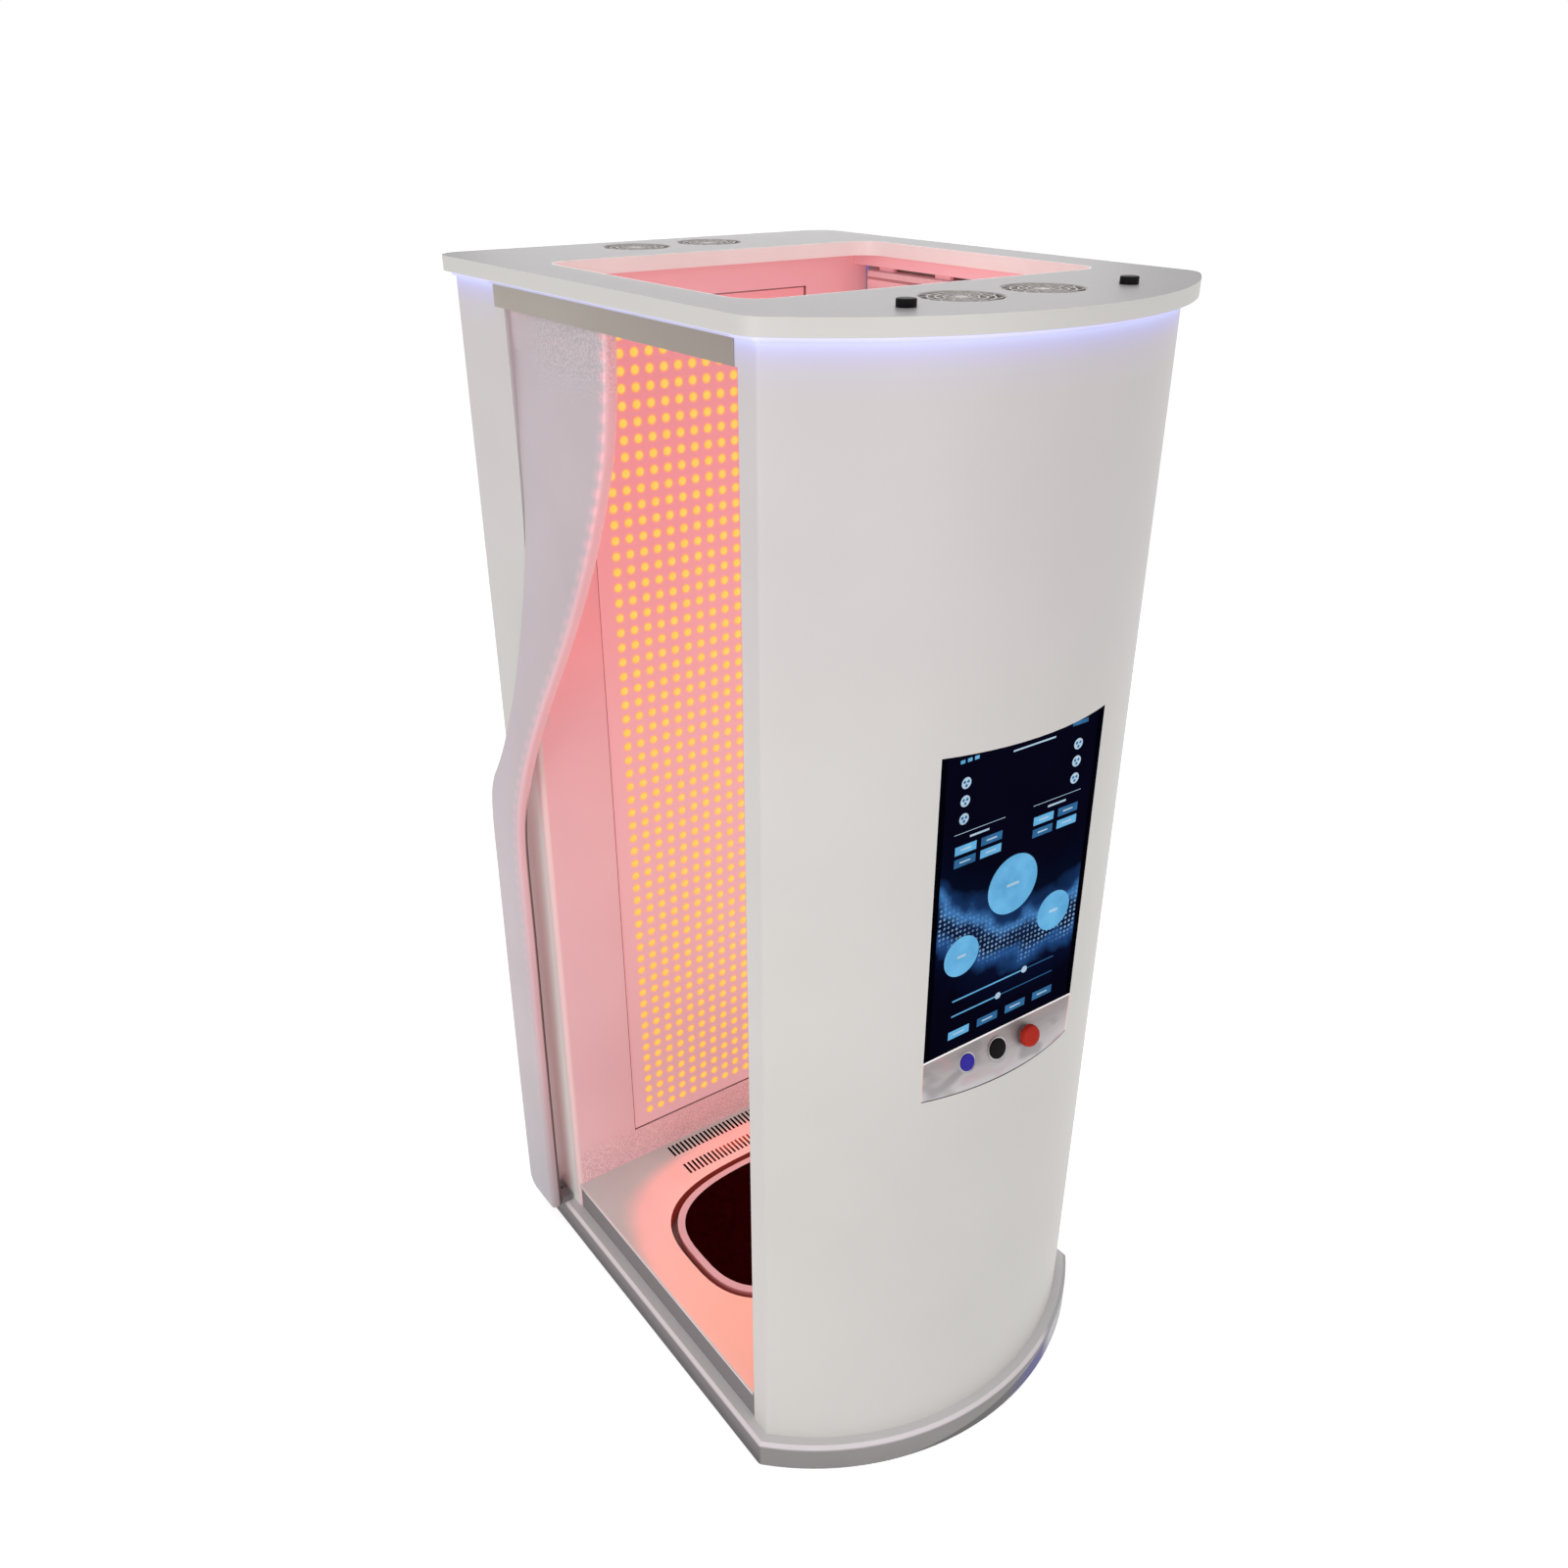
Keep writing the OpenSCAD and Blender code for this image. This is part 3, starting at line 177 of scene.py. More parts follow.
def orange_peel(tree, skin, where, scale, depth):
    """The fine waviness of a sprayed or moulded surface."""
    peel = add(tree, "TexNoise", {"Vector": where, "Scale": scale, "Detail": 1.0})
    bump = add(tree, "Bump", {"Height": peel.outputs["Fac"], "Strength": depth, "Distance": 0.0005})
    feed(tree, skin, Normal=bump)


def dress(made, *names):
    """Gives CAD nodes this material."""
    for name in names:
        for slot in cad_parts[name].material_slots:
            slot.material = made


crisp_angle = math.radians(32)


def round_off(width, *names):
    """Breaks the sharp edges of CAD nodes and shades their curves smoothly."""
    for name in names:
        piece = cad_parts[name]
        piece.data.shade_smooth()
        weld = piece.modifiers.new("weld", "WELD")
        weld.merge_threshold = 0.00001
        if width:
            bevel = piece.modifiers.new("bevel", "BEVEL")
            bevel.width = width
            bevel.segments = 2
            bevel.limit_method = "ANGLE"
            bevel.angle_limit = math.radians(40)
        split = piece.modifiers.new("split", "EDGE_SPLIT")
        split.split_angle = math.radians(22) if width else crisp_angle


plinth_grey, tree, skin = finish("powder_coat_grey", "#8E8A8A", Roughness=0.46)
where, axes, tone = clouded(tree, skin, 5.0, "#847F80", "#8E8A8A")
# Painted shade: the faces towards the doorways are painted darker, darkest near their foot
facing = add(tree, "SeparateXYZ", {0: add(tree, "NewGeometry").outputs["Normal"]})
to_side = add(tree, "Math", {0: facing.outputs["Y"]}, operation="ABSOLUTE")
to_side = add(tree, "MapRange", {"Value": to_side, "From Min": 0.8, "From Max": 1.0})
low = add(tree, "MapRange", {"Value": axes.outputs["Z"], "From Min": 0.015, "From Max": 0.04})
shaded_flank = add(tree, "MixRGB", {0: low, 1: linear("#3E383B"), 2: linear("#645C60")})
tone = add(tree, "MixRGB", {0: to_side, 1: tone, 2: shaded_flank})
# Painted shade: the lower skirt is painted dark round the bow, the dark band rising towards the far side, with a
# painted violet reflection there
line = add(tree, "Math", {0: axes.outputs["Y"], 1: 0.12, 2: 0.0235}, operation="MULTIPLY_ADD")
line = add(tree, "Math", {0: line, 1: axes.outputs["Z"]}, operation="SUBTRACT")
shade = add(tree, "MapRange", {"Value": line, "From Min": -0.001, "From Max": 0.003})
violet = add(tree, "MapRange", {"Value": axes.outputs["Y"], "From Min": 0.07, "From Max": 0.15})
skirt_shade_and_reflection = add(tree, "MixRGB", {0: violet, 1: linear("#585456"), 2: linear("#3C387E")})
beyond = add(tree, "MapRange", {"Value": axes.outputs["Y"], "From Min": 0.20, "From Max": 0.24})
skirt_shade_and_reflection = add(tree, "MixRGB", {0: beyond, 1: skirt_shade_and_reflection, 2: linear("#BEBCC2")})
front = add(tree, "Math", {0: axes.outputs["X"], 1: 0.4}, operation="GREATER_THAN")
shade = add(tree, "Math", {0: shade, 1: front}, operation="MULTIPLY")
tone = add(tree, "MixRGB", {0: shade, 1: tone, 2: skirt_shade_and_reflection})
# Painted highlight: a thin bright band on the bevel, plain grey past the bow's far side; painted light: the ledge's
# top is paler
rim = add(tree, "MapRange", {"Value": axes.outputs["Z"], "From Min": 0.0505, "From Max": 0.0535})
ledge = add(tree, "Math", {0: axes.outputs["Z"], 1: 0.0597}, operation="GREATER_THAN")
rim_tone = add(tree, "MixRGB", {0: beyond, 1: linear("#DCD3D7"), 2: linear("#A9A6A9")})
brighter = add(tree, "MixRGB", {0: rim, 1: tone, 2: rim_tone})
tone = add(tree, "MixRGB", {0: ledge, 1: brighter, 2: linear("#D0CDCE")})
feed(tree, skin, Base_Color=tone)
orange_peel(tree, skin, where, 420.0, 0.06)
dress(plinth_grey, "plinth_tray")
round_off(0.0, "plinth_tray")

# Bright zinc plating on the hidden steelwork: flakes about 11 mm wide of slightly different grey
zinc, tree, skin = finish("zinc_plate", "#A9ADB0", Roughness=0.34, Metallic=1.0)
where = add(tree, "TexCoord").outputs["Object"]
flakes = add(tree, "TexVoronoi", {"Vector": where, "Scale": 90.0})
tone = add(tree, "ValToRGB", {0: flakes.outputs["Color"]}, stops=[(0.0, "#9DA1A5"), (1.0, "#B7BBBD")])
feed(tree, skin, Base_Color=tone)
dress(zinc, "lift_column_outer", "lift_column_inner", "lift_rod", "platform_tray", "back_frame", "bow_frame",
      "power_supplies", "display_bracket", "control_box", "service_screws")
round_off(0.0, "lift_column_outer", "lift_column_inner", "lift_rod", "service_screws")

# Black moulded plastic and rubber: nearly black, with hardly any sheen
rubber, tree, skin = finish("moulded_rubber", "#26242A", Roughness=0.5, Specular_IOR_Level=0.1)
clouded(tree, skin, 30.0, "#0C0A0D", "#131115")
dress(rubber, "levelling_feet", "lift_actuator", "switch_bodies", "display_module", "power_inlet", "top_caps")
round_off(0.0, "levelling_feet")
round_off(0.0008, "top_caps", "power_inlet")


# Cabin floor
# A 4 mm sheet with two rows of thirty slots along each light wall and a cut-out for the platform, in a cool pale
# coat. A warm pool of the lamps' light is painted on its middle as a glow; the corners by the doorways stay grey.

# Places along the booth, and where the doorways lie across it
cabin_middle, flat_wall = -0.029, -0.378
door_line = 0.44
deck, tree, skin = finish("deck_coat", "#CDC2C0", Roughness=0.38, Emission_Color=linear("#FF5A44"))
_, axes, tone = clouded(tree, skin, 9.0, "#C3C5C4", "#CCCECD")
facing = add(tree, "SeparateXYZ", {0: add(tree, "NewGeometry").outputs["Normal"]})
cut = add(tree, "Math", {0: facing.outputs["Z"], 1: 0.5}, operation="LESS_THAN")
outer = add(tree, "Math", {0: axes.outputs["Y"]}, operation="ABSOLUTE")
outer = add(tree, "Math", {0: outer, 1: 0.36}, operation="GREATER_THAN")
from_middle = add(tree, "Math", {0: axes.outputs["X"], 1: -cabin_middle}, operation="ADD")
from_middle = add(tree, "Math", {0: from_middle}, operation="ABSOLUTE")
slots = add(tree, "Math", {0: from_middle, 1: 0.25}, operation="GREATER_THAN")
# Painted shade: the cut walls of the slots are painted nearly black, those of the platform's cut-out dark red and the
# front edge grey
inner = add(tree, "MixRGB", {0: slots, 1: linear("#5A2428"), 2: linear("#040101")})
inner = add(tree, "MixRGB", {0: outer, 1: inner, 2: linear("#8C8789")})
gloss = add(tree, "MapRange", {"Value": cut, "To Min": 0.5, "To Max": 0.0})
feed(tree, skin, Specular_IOR_Level=gloss)
# The painted pool of light's edge bends round the doorway corners of the flat pod and stops short of its wall
from_wall = add(tree, "Math", {0: axes.outputs["X"], 1: -flat_wall}, operation="ADD")
from_door = add(tree, "Math", {0: axes.outputs["Y"]}, operation="ABSOLUTE")
from_door = add(tree, "Math", {0: door_line, 1: from_door}, operation="SUBTRACT")
pool = add(tree, "Math", {0: from_wall, 1: from_door}, operation="MULTIPLY")
pool = add(tree, "MapRange", {"Value": pool, "From Min": 0.009, "From Max": 0.021, "To Max": 0.45},
           interpolation_type="SMOOTHSTEP")
amber = add(tree, "MapRange", {"Value": axes.outputs["X"], "From Min": -0.2, "From Max": 0.12, "To Max": 0.8})
amber = add(tree, "MixRGB", {0: amber, 1: tone, 2: linear("#CBC3B2")})
tone = add(tree, "MixRGB", {0: cut, 1: amber, 2: inner})
feed(tree, skin, Base_Color=tone)
# Painted glow: the walls of the platform's cut-out glow faintly red
cut_glow = add(tree, "Math", {0: outer, 1: slots}, operation="MAXIMUM")
cut_glow = add(tree, "MapRange", {"Value": cut_glow, "To Min": 0.12, "To Max": 0.0})
# Painted glow: the inner slots nearest the middle are painted with the lamps' red light
row = add(tree, "Math", {0: from_middle, 1: 0.29}, operation="LESS_THAN")
warm = add(tree, "Math", {0: axes.outputs["Y"]}, operation="ABSOLUTE")
warm = add(tree, "MapRange", {"Value": warm, "From Min": 0.09, "From Max": 0.055, "To Max": 0.7})
warm = add(tree, "Math", {0: warm, 1: row}, operation="MULTIPLY")
warm = add(tree, "Math", {0: warm, 1: slots}, operation="MULTIPLY")
cut_glow = add(tree, "Math", {0: cut_glow, 1: warm}, operation="MAXIMUM")
glow = add(tree, "MixRGB", {0: cut, 1: pool, 2: cut_glow})
feed(tree, skin, Emission_Strength=glow)
dress(deck, "floor_deck")

# Painted shade: the air boxes and the floor frame are painted nearly black, a dark red-brown, so the slots read as
# dark
duct_shade, tree, skin = finish("duct_painted_shade", "#1E0B0A", Roughness=0.7, Specular_IOR_Level=0.1)
clouded(tree, skin, 25.0, "#100303", "#180606")
dress(duct_shade, "floor_ducts", "floor_frame")

# Frosted acrylic edge trim with a faint painted glow, a thin pale line along the threshold
threshold_trim, tree, skin = finish("threshold_trim_acrylic", "#F4D9D6", Roughness=0.3, Emission_Color=linear("#FFE6E4"),
                                Emission_Strength=0.03)
clouded(tree, skin, 14.0, "#D6CDCE", "#DED6D7")
dress(threshold_trim, "floor_edge_trims")


# Lifting platform
# A pale coated ring round a ribbed black rubber mat, on a telescopic column under the floor. A gap of 14 mm runs
# all round the ring, and its walls are painted dark red as painted shade, with a faint painted glow.
ring_coat, tree, skin = finish("ring_coat", "#D8B4B6", Roughness=0.36, Emission_Color=linear("#FF6A62"))
_, axes, tone = clouded(tree, skin, 12.0, "#D6B3BB", "#DEBCC4")
# Painted light and shade: the ring's side wall is painted dark at its foot and pale at its top, and the whole ring
# glows faintly rosy, its side wall more
side = add(tree, "Math", {0: axes.outputs["Z"], 1: 0.1255}, operation="LESS_THAN")
under = add(tree, "MapRange", {"Value": axes.outputs["Z"], "From Min": 0.112, "From Max": 0.125})
wall = add(tree, "MixRGB", {0: under, 1: linear("#4A2428"), 2: linear("#C79A9C")})
tone = add(tree, "MixRGB", {0: side, 1: tone, 2: wall})
feed(tree, skin, Base_Color=tone)
glow = add(tree, "MapRange", {"Value": side, "To Min": 0.06, "To Max": 0.12})
feed(tree, skin, Emission_Strength=glow)
dress(ring_coat, "platform_ring")
round_off(0.0, "platform_ring")

# Nitrile rubber, moulded with ribs 6 mm apart and 0.6 mm deep: nearly black, with a faint painted red glow for the
# lamps' light
mat_rubber, tree, skin = finish("mat_rubber", "#140304", Roughness=0.6, Specular_IOR_Level=0.0,
                                Emission_Color=linear("#FF1008"), Emission_Strength=0.004)
where, _, _ = clouded(tree, skin, 60.0, "#150102", "#200203")
ribs = add(tree, "TexWave", {"Vector": where, "Scale": math.tau / 20 / 0.006}, bands_direction="X")
bump = add(tree, "Bump", {"Height": ribs.outputs["Fac"], "Strength": 0.5, "Distance": 0.0006})
feed(tree, skin, Normal=bump)
dress(mat_rubber, "standing_mat")


# Pod shells
# Two folded steel housings, a flat-backed one and a bowed one of 550 mm radius, in a satin warm white coat. A
# painted lilac glow washes their upper 80 mm for the light strip under the roof, and a painted rosy tint and glow
# mark the doorway's rounded edge for the lamps' light.
doorway_half = 0.3465
light_line = 2.064
wash_drop = 0.080
white_coat, tree, skin = finish("powder_coat_white", "#D5D2CE", Roughness=0.42, Emission_Strength=1.0)
where, axes, tone = clouded(tree, skin, 2.2, "#D0CDC9", "#D6D3CF")
# Painted light: a lilac glow fading down from the light strip, left off over the doorways, and a faint rosy tint
# higher up
wash = add(tree, "MapRange", {"Value": axes.outputs["Z"], "From Min": light_line,
                              "From Max": light_line - wash_drop})
wash = add(tree, "ValToRGB", {0: wash}, stops=[
    (0.0, "#6A82BA"), (0.06, "#566CA6"), (0.12, "#3E4E9A"), (0.18, "#28328C"), (0.26, "#161C78"), (0.36, "#0B0F62"),
    (0.5, "#050742"), (0.72, "#02032A"), (1.0, "#000000")])
over_door = add(tree, "Math", {0: axes.outputs["X"], 1: cabin_middle, 2: doorway_half}, operation="COMPARE")
wash = add(tree, "MixRGB", {0: over_door, 1: wash, 2: linear("#000000")})
rosy = add(tree, "MapRange", {"Value": axes.outputs["Z"], "From Min": 1.2, "From Max": 1.9})
rosy = add(tree, "MixRGB", {0: rosy, 1: linear("#FFFFFF"), 2: linear("#FEFAFF")})
tone = add(tree, "MixRGB", {0: 1.0, 1: tone, 2: rosy}, blend_type="MULTIPLY")
# Below the leaf's bend the jamb lies open: its face is painted pale with a painted glow, its edge to the cabin painted
# rosy, standing in for the lamps' light
edge = add(tree, "MapRange", {"Value": axes.outputs["X"], "From Min": -0.394, "From Max": -0.384})
past = add(tree, "Math", {0: axes.outputs["X"], 1: -0.37}, operation="LESS_THAN")
open_jamb = add(tree, "MapRange", {"Value": axes.outputs["Z"], "From Min": 1.22, "From Max": 1.12})
open_jamb = add(tree, "Math", {0: open_jamb, 1: past}, operation="MULTIPLY")
edge = add(tree, "Math", {0: edge, 1: open_jamb}, operation="MULTIPLY")
tone = add(tree, "MixRGB", {0: edge, 1: tone, 2: linear("#E6C8C8")})
feed(tree, skin, Base_Color=tone)
face = add(tree, "MapRange", {"Value": axes.outputs["X"], "From Min": -0.45, "From Max": -0.38})
face = add(tree, "ValToRGB", {0: face}, stops=[
    (0.0, "#000000"), (0.5, "#4E5856"), (0.75, "#5A6462"), (0.95, "#343C3A")])
pale = add(tree, "MixRGB", {0: open_jamb, 1: wash, 2: face})
tint = add(tree, "MixRGB", {0: edge, 1: pale, 2: linear("#3A3436")})
feed(tree, skin, Emission_Color=tint)
orange_peel(tree, skin, where, 380.0, 0.05)
dress(white_coat, "back_shell", "bow_shell", "service_panel")
round_off(0.0, "back_shell", "bow_shell")


# Light walls
# A pale sheet with a large opening, and behind it a moulded cover with a raised amber lens over each lamp,
# fourteen across and fifty-eight up on a 30 mm grid. A thin dark seam runs round the cover.

# Satin powder coat: pale, with a painted rosy tint and glow for the lamps' light
wall_coat, tree, skin = finish("wall_coat", "#E3B3B6", Roughness=0.4, Emission_Strength=1.0)
where, axes, tone = clouded(tree, skin, 3.0, "#D9C4CC", "#DFCCD3")
height = add(tree, "MapRange", {"Value": axes.outputs["Z"], "From Min": 0.0, "From Max": 2.1})
rosy = add(tree, "ValToRGB", {0: height}, stops=[(0.3, "#FFFBFB"), (0.7, "#FFE8EA"), (1.0, "#FFF0F2")])
tone = add(tree, "MixRGB", {0: 1.0, 1: tone, 2: rosy}, blend_type="MULTIPLY")
# Near the floor the coat shows its grit, 3 mm coarse so that it reads in the picture
grit = add(tree, "TexNoise", {"Vector": where, "Scale": 330.0, "Detail": 2.0})
grit = add(tree, "ValToRGB", {0: grit.outputs["Fac"]}, stops=[(0.38, "#A88C92"), (0.62, "#F4E6EA")])
low = add(tree, "MapRange", {"Value": axes.outputs["Z"], "From Min": 0.24, "From Max": 0.19, "To Max": 0.5})
tone = add(tree, "MixRGB", {0: low, 1: tone, 2: grit})
# Painted glow: the coat glows dark rosy red, strongest at mid-height, for the lamps' light
blush = add(tree, "ValToRGB", {0: height}, stops=[
    (0.0, "#5C2C2A"), (0.5, "#521E1C"), (0.6, "#5A0A0A"), (0.68, "#780404"), (0.78, "#6C0404"), (0.9, "#763438"),
    (1.0, "#804548")])
# The margin behind the leaf's upper edge lies in its shade and is painted as a mauve seam, with a painted glow that
# keeps it pale
margin = add(tree, "Math", {0: axes.outputs["Y"], 1: -0.3615}, operation="LESS_THAN")
above = add(tree, "MapRange", {"Value": axes.outputs["Z"], "From Min": 1.26, "From Max": 1.32})
margin = add(tree, "Math", {0: margin, 1: above}, operation="MULTIPLY")
tone = add(tree, "MixRGB", {0: margin, 1: tone, 2: linear("#8A8C92")})
feed(tree, skin, Base_Color=tone)
blush = add(tree, "MixRGB", {0: margin, 1: blush, 2: linear("#8A8086")})
feed(tree, skin, Emission_Color=blush)
dress(wall_coat, "back_inner_wall", "bow_inner_wall", "front_track", "rear_track")

bow_wall = 0.320
lamp_pitch = 0.030
lamp_columns, first_column = 14, -0.195
lamp_rows, first_row = 58, 0.251
lamps_half_wide, lamps_half_high = 0.211, 0.878
cover_half = 0.238
cover_low, cover_high = 0.212, 2.014
cover_thickness = 0.001
cover_behind, lens_behind = 0.0045, 0.0035
lens_r, lens_taper, lens_height = 0.0075, 0.72, 0.001
panel_wide, panel_high, panel_middle, panel_gap, panel_watts = 0.44, 1.76, 1.11, 0.02, 2.0


def place(bm, name, body, *finishes):
    """Makes the finished mesh an object that rides on a CAD body, with its normals outwards and its curves smooth."""
    bmesh.ops.recalc_face_normals(bm, faces=bm.faces)
    piece = bpy.data.objects.new(name, bpy.data.meshes.new(name))
    bm.to_mesh(piece.data)
    bm.free()
    for made in finishes:
        piece.data.materials.append(made)
    piece.data.shade_smooth()
    bpy.context.scene.collection.objects.link(piece)
    split = piece.modifiers.new("split", "EDGE_SPLIT")
    split.split_angle = crisp_angle
    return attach(piece, body)


# Moulded acrylic, lit from behind: pink, paler towards the floor, with a soft amber ring round each lamp
lamp_cover, tree, skin = finish("lamp_cover_acrylic", "#BCAEB4", Roughness=0.3, Emission_Strength=1.0)
where = add(tree, "TexCoord").outputs["Object"]
axes = add(tree, "SeparateXYZ", {0: where})
across = add(tree, "Math", {0: axes.outputs["Y"], 1: first_column}, operation="SUBTRACT")
across = add(tree, "Math", {0: across, 1: lamp_pitch / 2}, operation="PINGPONG")
up = add(tree, "Math", {0: axes.outputs["Z"], 1: first_row}, operation="SUBTRACT")
up = add(tree, "Math", {0: up, 1: lamp_pitch / 2}, operation="PINGPONG")
off = add(tree, "CombineXYZ", {0: across, 1: up})
off = add(tree, "VectorMath", {0: off}, operation="LENGTH")
side = add(tree, "Math", {0: axes.outputs["Y"]}, operation="ABSOLUTE")
middle = (cover_low + cover_high) / 2
ends = add(tree, "Math", {0: axes.outputs["Z"], 1: middle}, operation="SUBTRACT")
ends = add(tree, "Math", {0: ends}, operation="ABSOLUTE")
past_side = add(tree, "Math", {0: side, 1: lamps_half_wide}, operation="GREATER_THAN")
past_ends = add(tree, "Math", {0: ends, 1: lamps_half_high}, operation="GREATER_THAN")
bare = add(tree, "Math", {0: past_side, 1: past_ends}, operation="MAXIMUM")
off = add(tree, "Math", {0: bare, 1: 0.02, 2: off.outputs["Value"]}, operation="MULTIPLY_ADD")
halo = add(tree, "MapRange", {"Value": off, "From Min": 0.0074, "From Max": 0.0112},
           interpolation_type="SMOOTHSTEP")
height = add(tree, "MapRange", {"Value": axes.outputs["Z"], "From Min": 0.0, "From Max": 2.1})
blush = add(tree, "ValToRGB", {0: height}, stops=[
    (0.1, "#A06E70"), (0.45, "#A86A6C"), (0.62, "#AE5E60"), (0.8, "#B45258"), (0.95, "#B04C52")])
lit = add(tree, "MixRGB", {0: halo, 1: linear("#F49A4A"), 2: blush})
seam_side = add(tree, "Math", {0: side, 1: cover_half - 0.0018}, operation="GREATER_THAN")
seam_ends = add(tree, "Math", {0: ends, 1: (cover_high - cover_low) / 2 - 0.001}, operation="GREATER_THAN")
seam = add(tree, "Math", {0: seam_side, 1: seam_ends}, operation="MAXIMUM")
lit = add(tree, "MixRGB", {0: seam, 1: lit, 2: linear("#6A3A3A")})
feed(tree, skin, Emission_Color=lit)
under = add(tree, "MixRGB", {0: halo, 1: linear("#A06A3C"), 2: linear("#B5A2A8")})
under = add(tree, "MixRGB", {0: seam, 1: under, 2: linear("#8E5A58")})
feed(tree, skin, Base_Color=under)

# Clear amber lens caps, lit: evenly bright yellow
lamp_lens, tree, skin = finish("lamp_lens_amber", "#6A4A1C", Roughness=0.25, Emission_Strength=0.95)
clouded(tree, skin, 60.0, "#FFC752", "#FFCF60", socket="Emission Color")

for pod, wall, turn in (("back", flat_wall, -1), ("bow", bow_wall, 1)):
    bm = bmesh.new()
    sheet = Matrix.Diagonal((cover_thickness, 2 * cover_half, cover_high - cover_low, 1))
    bmesh.ops.create_cube(bm, size=1, matrix=Matrix.Translation((wall + turn * cover_behind, 0, middle)) @ sheet)
    for column in range(lamp_columns):
        for row in range(lamp_rows):
            spot = (wall + turn * lens_behind, first_column + lamp_pitch * column, first_row + lamp_pitch * row)
            seat = Matrix.Translation(spot) @ Matrix.Rotation(-turn * math.pi / 2, 4, "Y")
            dome = bmesh.ops.create_cone(bm, cap_ends=True, segments=12, radius1=lens_r, radius2=lens_r * lens_taper,
                                         depth=lens_height, matrix=seat)
            for face in {f for v in dome["verts"] for f in v.link_faces}:
                face.material_index = 1
    cover = place(bm, pod + "_lamp_cover", "booth", lamp_cover, lamp_lens)
    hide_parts(pod + "_led_lenses")

    # The light of the panel as a whole, which a single sample per lamp would leave grainy
    lamp = area_lamp(pod + "_panel_light", (wall - turn * panel_gap, 0, panel_middle), Vector((-turn, 0, 0)),
                     panel_wide, panel_watts)
    lamp.data.shape = "RECTANGLE"
    lamp.data.size_y = panel_high
    lamp.data.color = linear("#FFBEB8")[:3]
    lamp.visible_camera = False
    lamp.visible_glossy = False
dress(wall_coat, "back_led_board", "bow_led_board")

# Extruded aluminium of the heat sinks: clean grey metal with a soft sheen
aluminium, tree, skin = finish("extruded_aluminium", "#9B9EA1", Roughness=0.38, Metallic=1.0)
clouded(tree, skin, 20.0, "#94979A", "#A3A6A9")
dress(aluminium, "back_heat_sink", "bow_heat_sink")


# Screen
# A portrait touch screen, 340 by 549 mm, behind flat glass in a thin steel surround. The glass is black where the
# picture is dark; a lit band of dots crosses the lower half, under plain discs, bars and dials.
glass, tree, skin = finish("screen_glass_lit", "#020208", Roughness=0.3, Specular_IOR_Level=0.0)
where, axes, _ = clouded(tree, skin, 12.0, "#020208", "#04040E")
bend = add(tree, "Math", {0: axes.outputs["Y"], 1: 0.06}, operation="SUBTRACT")
bend = add(tree, "Math", {0: bend, 1: bend}, operation="MULTIPLY")
bend = add(tree, "Math", {0: bend, 1: -2.2, 2: axes.outputs["Z"]}, operation="MULTIPLY_ADD")
drift = add(tree, "TexNoise", {"Vector": where, "Scale": 16.0, "Detail": 3.0})
bend = add(tree, "Math", {0: drift.outputs["Fac"], 1: 0.09, 2: bend}, operation="MULTIPLY_ADD")
climb = add(tree, "MapRange", {"Value": bend, "From Min": 1.03, "From Max": 1.30})
band = add(tree, "ValToRGB", {0: climb}, stops=[
    (0.0, "#03030E"), (0.2, "#060C24"), (0.33, "#24508A"), (0.42, "#081230"), (0.5, "#0E2248"), (0.58, "#3C74B0"),
    (0.66, "#14305A"), (0.76, "#040A1C"), (1.0, "#040412")])
# A net of lit dots, 9 mm apart, over the band
net = add(tree, "CombineXYZ", {0: axes.outputs["Y"], 1: axes.outputs["Z"]})
cells = add(tree, "TexVoronoi", {"Vector": net, "Scale": 111.0, "Randomness": 0.2}, voronoi_dimensions="2D")
dots = add(tree, "MapRange", {"Value": cells.outputs["Distance"], "From Min": 0.32, "From Max": 0.2, "To Max": 0.7})
near = add(tree, "MapRange", {"Value": climb, "From Min": 0.28, "From Max": 0.38})
far = add(tree, "MapRange", {"Value": climb, "From Min": 0.64, "From Max": 0.5})
dots = add(tree, "Math", {0: dots, 1: near}, operation="MULTIPLY")
dots = add(tree, "Math", {0: dots, 1: far}, operation="MULTIPLY")
patchy = add(tree, "MapRange", {"Value": drift.outputs["Fac"], "From Min": 0.38, "From Max": 0.62, "To Min": 0.2})
dots = add(tree, "Math", {0: dots, 1: patchy}, operation="MULTIPLY")
band = add(tree, "MixRGB", {0: dots, 1: band, 2: linear("#9FCBEE")})
rim = add(tree, "Math", {0: axes.outputs["Y"]}, operation="ABSOLUTE")
rim = add(tree, "Math", {0: rim, 1: 0.158}, operation="LESS_THAN")
feed(tree, skin, Emission_Color=band, Emission_Strength=rim)
dress(glass, "screen_glass")

# The picture's flat tints, lit from within: a pale one, a sky blue and a deep blue
picture_finishes = []
for name, dim, bright in (("display_pale", "#A9C6DC", "#BFD8EA"), ("display_sky", "#5FA9DA", "#74C0EE"),
                          ("display_deep", "#2C5F8C", "#3A76A8")):
    made, tree, skin = finish(name, "#05050F", Roughness=0.4, Specular_IOR_Level=0.0, Emission_Strength=0.9)
    clouded(tree, skin, 28.0, dim, bright, socket="Emission Color")
    picture_finishes.append(made)
PALE, SKY, DEEP = 0, 1, 2


glass_front = 0.5063
icon_column, bar_column, dial_column = 0.118, 0.083, 0.102
slider_half = 0.115


def on_glass(y, z, lift, wide=1.0, high=1.0):
    """Turns a shape drawn flat to face out of the screen, at this place on it in metres."""
    return (Matrix.Translation((glass_front + lift, y, z)) @ Matrix.Rotation(math.pi / 2, 4, "Y")
            @ Matrix.Diagonal((high, wide, 1, 1)))


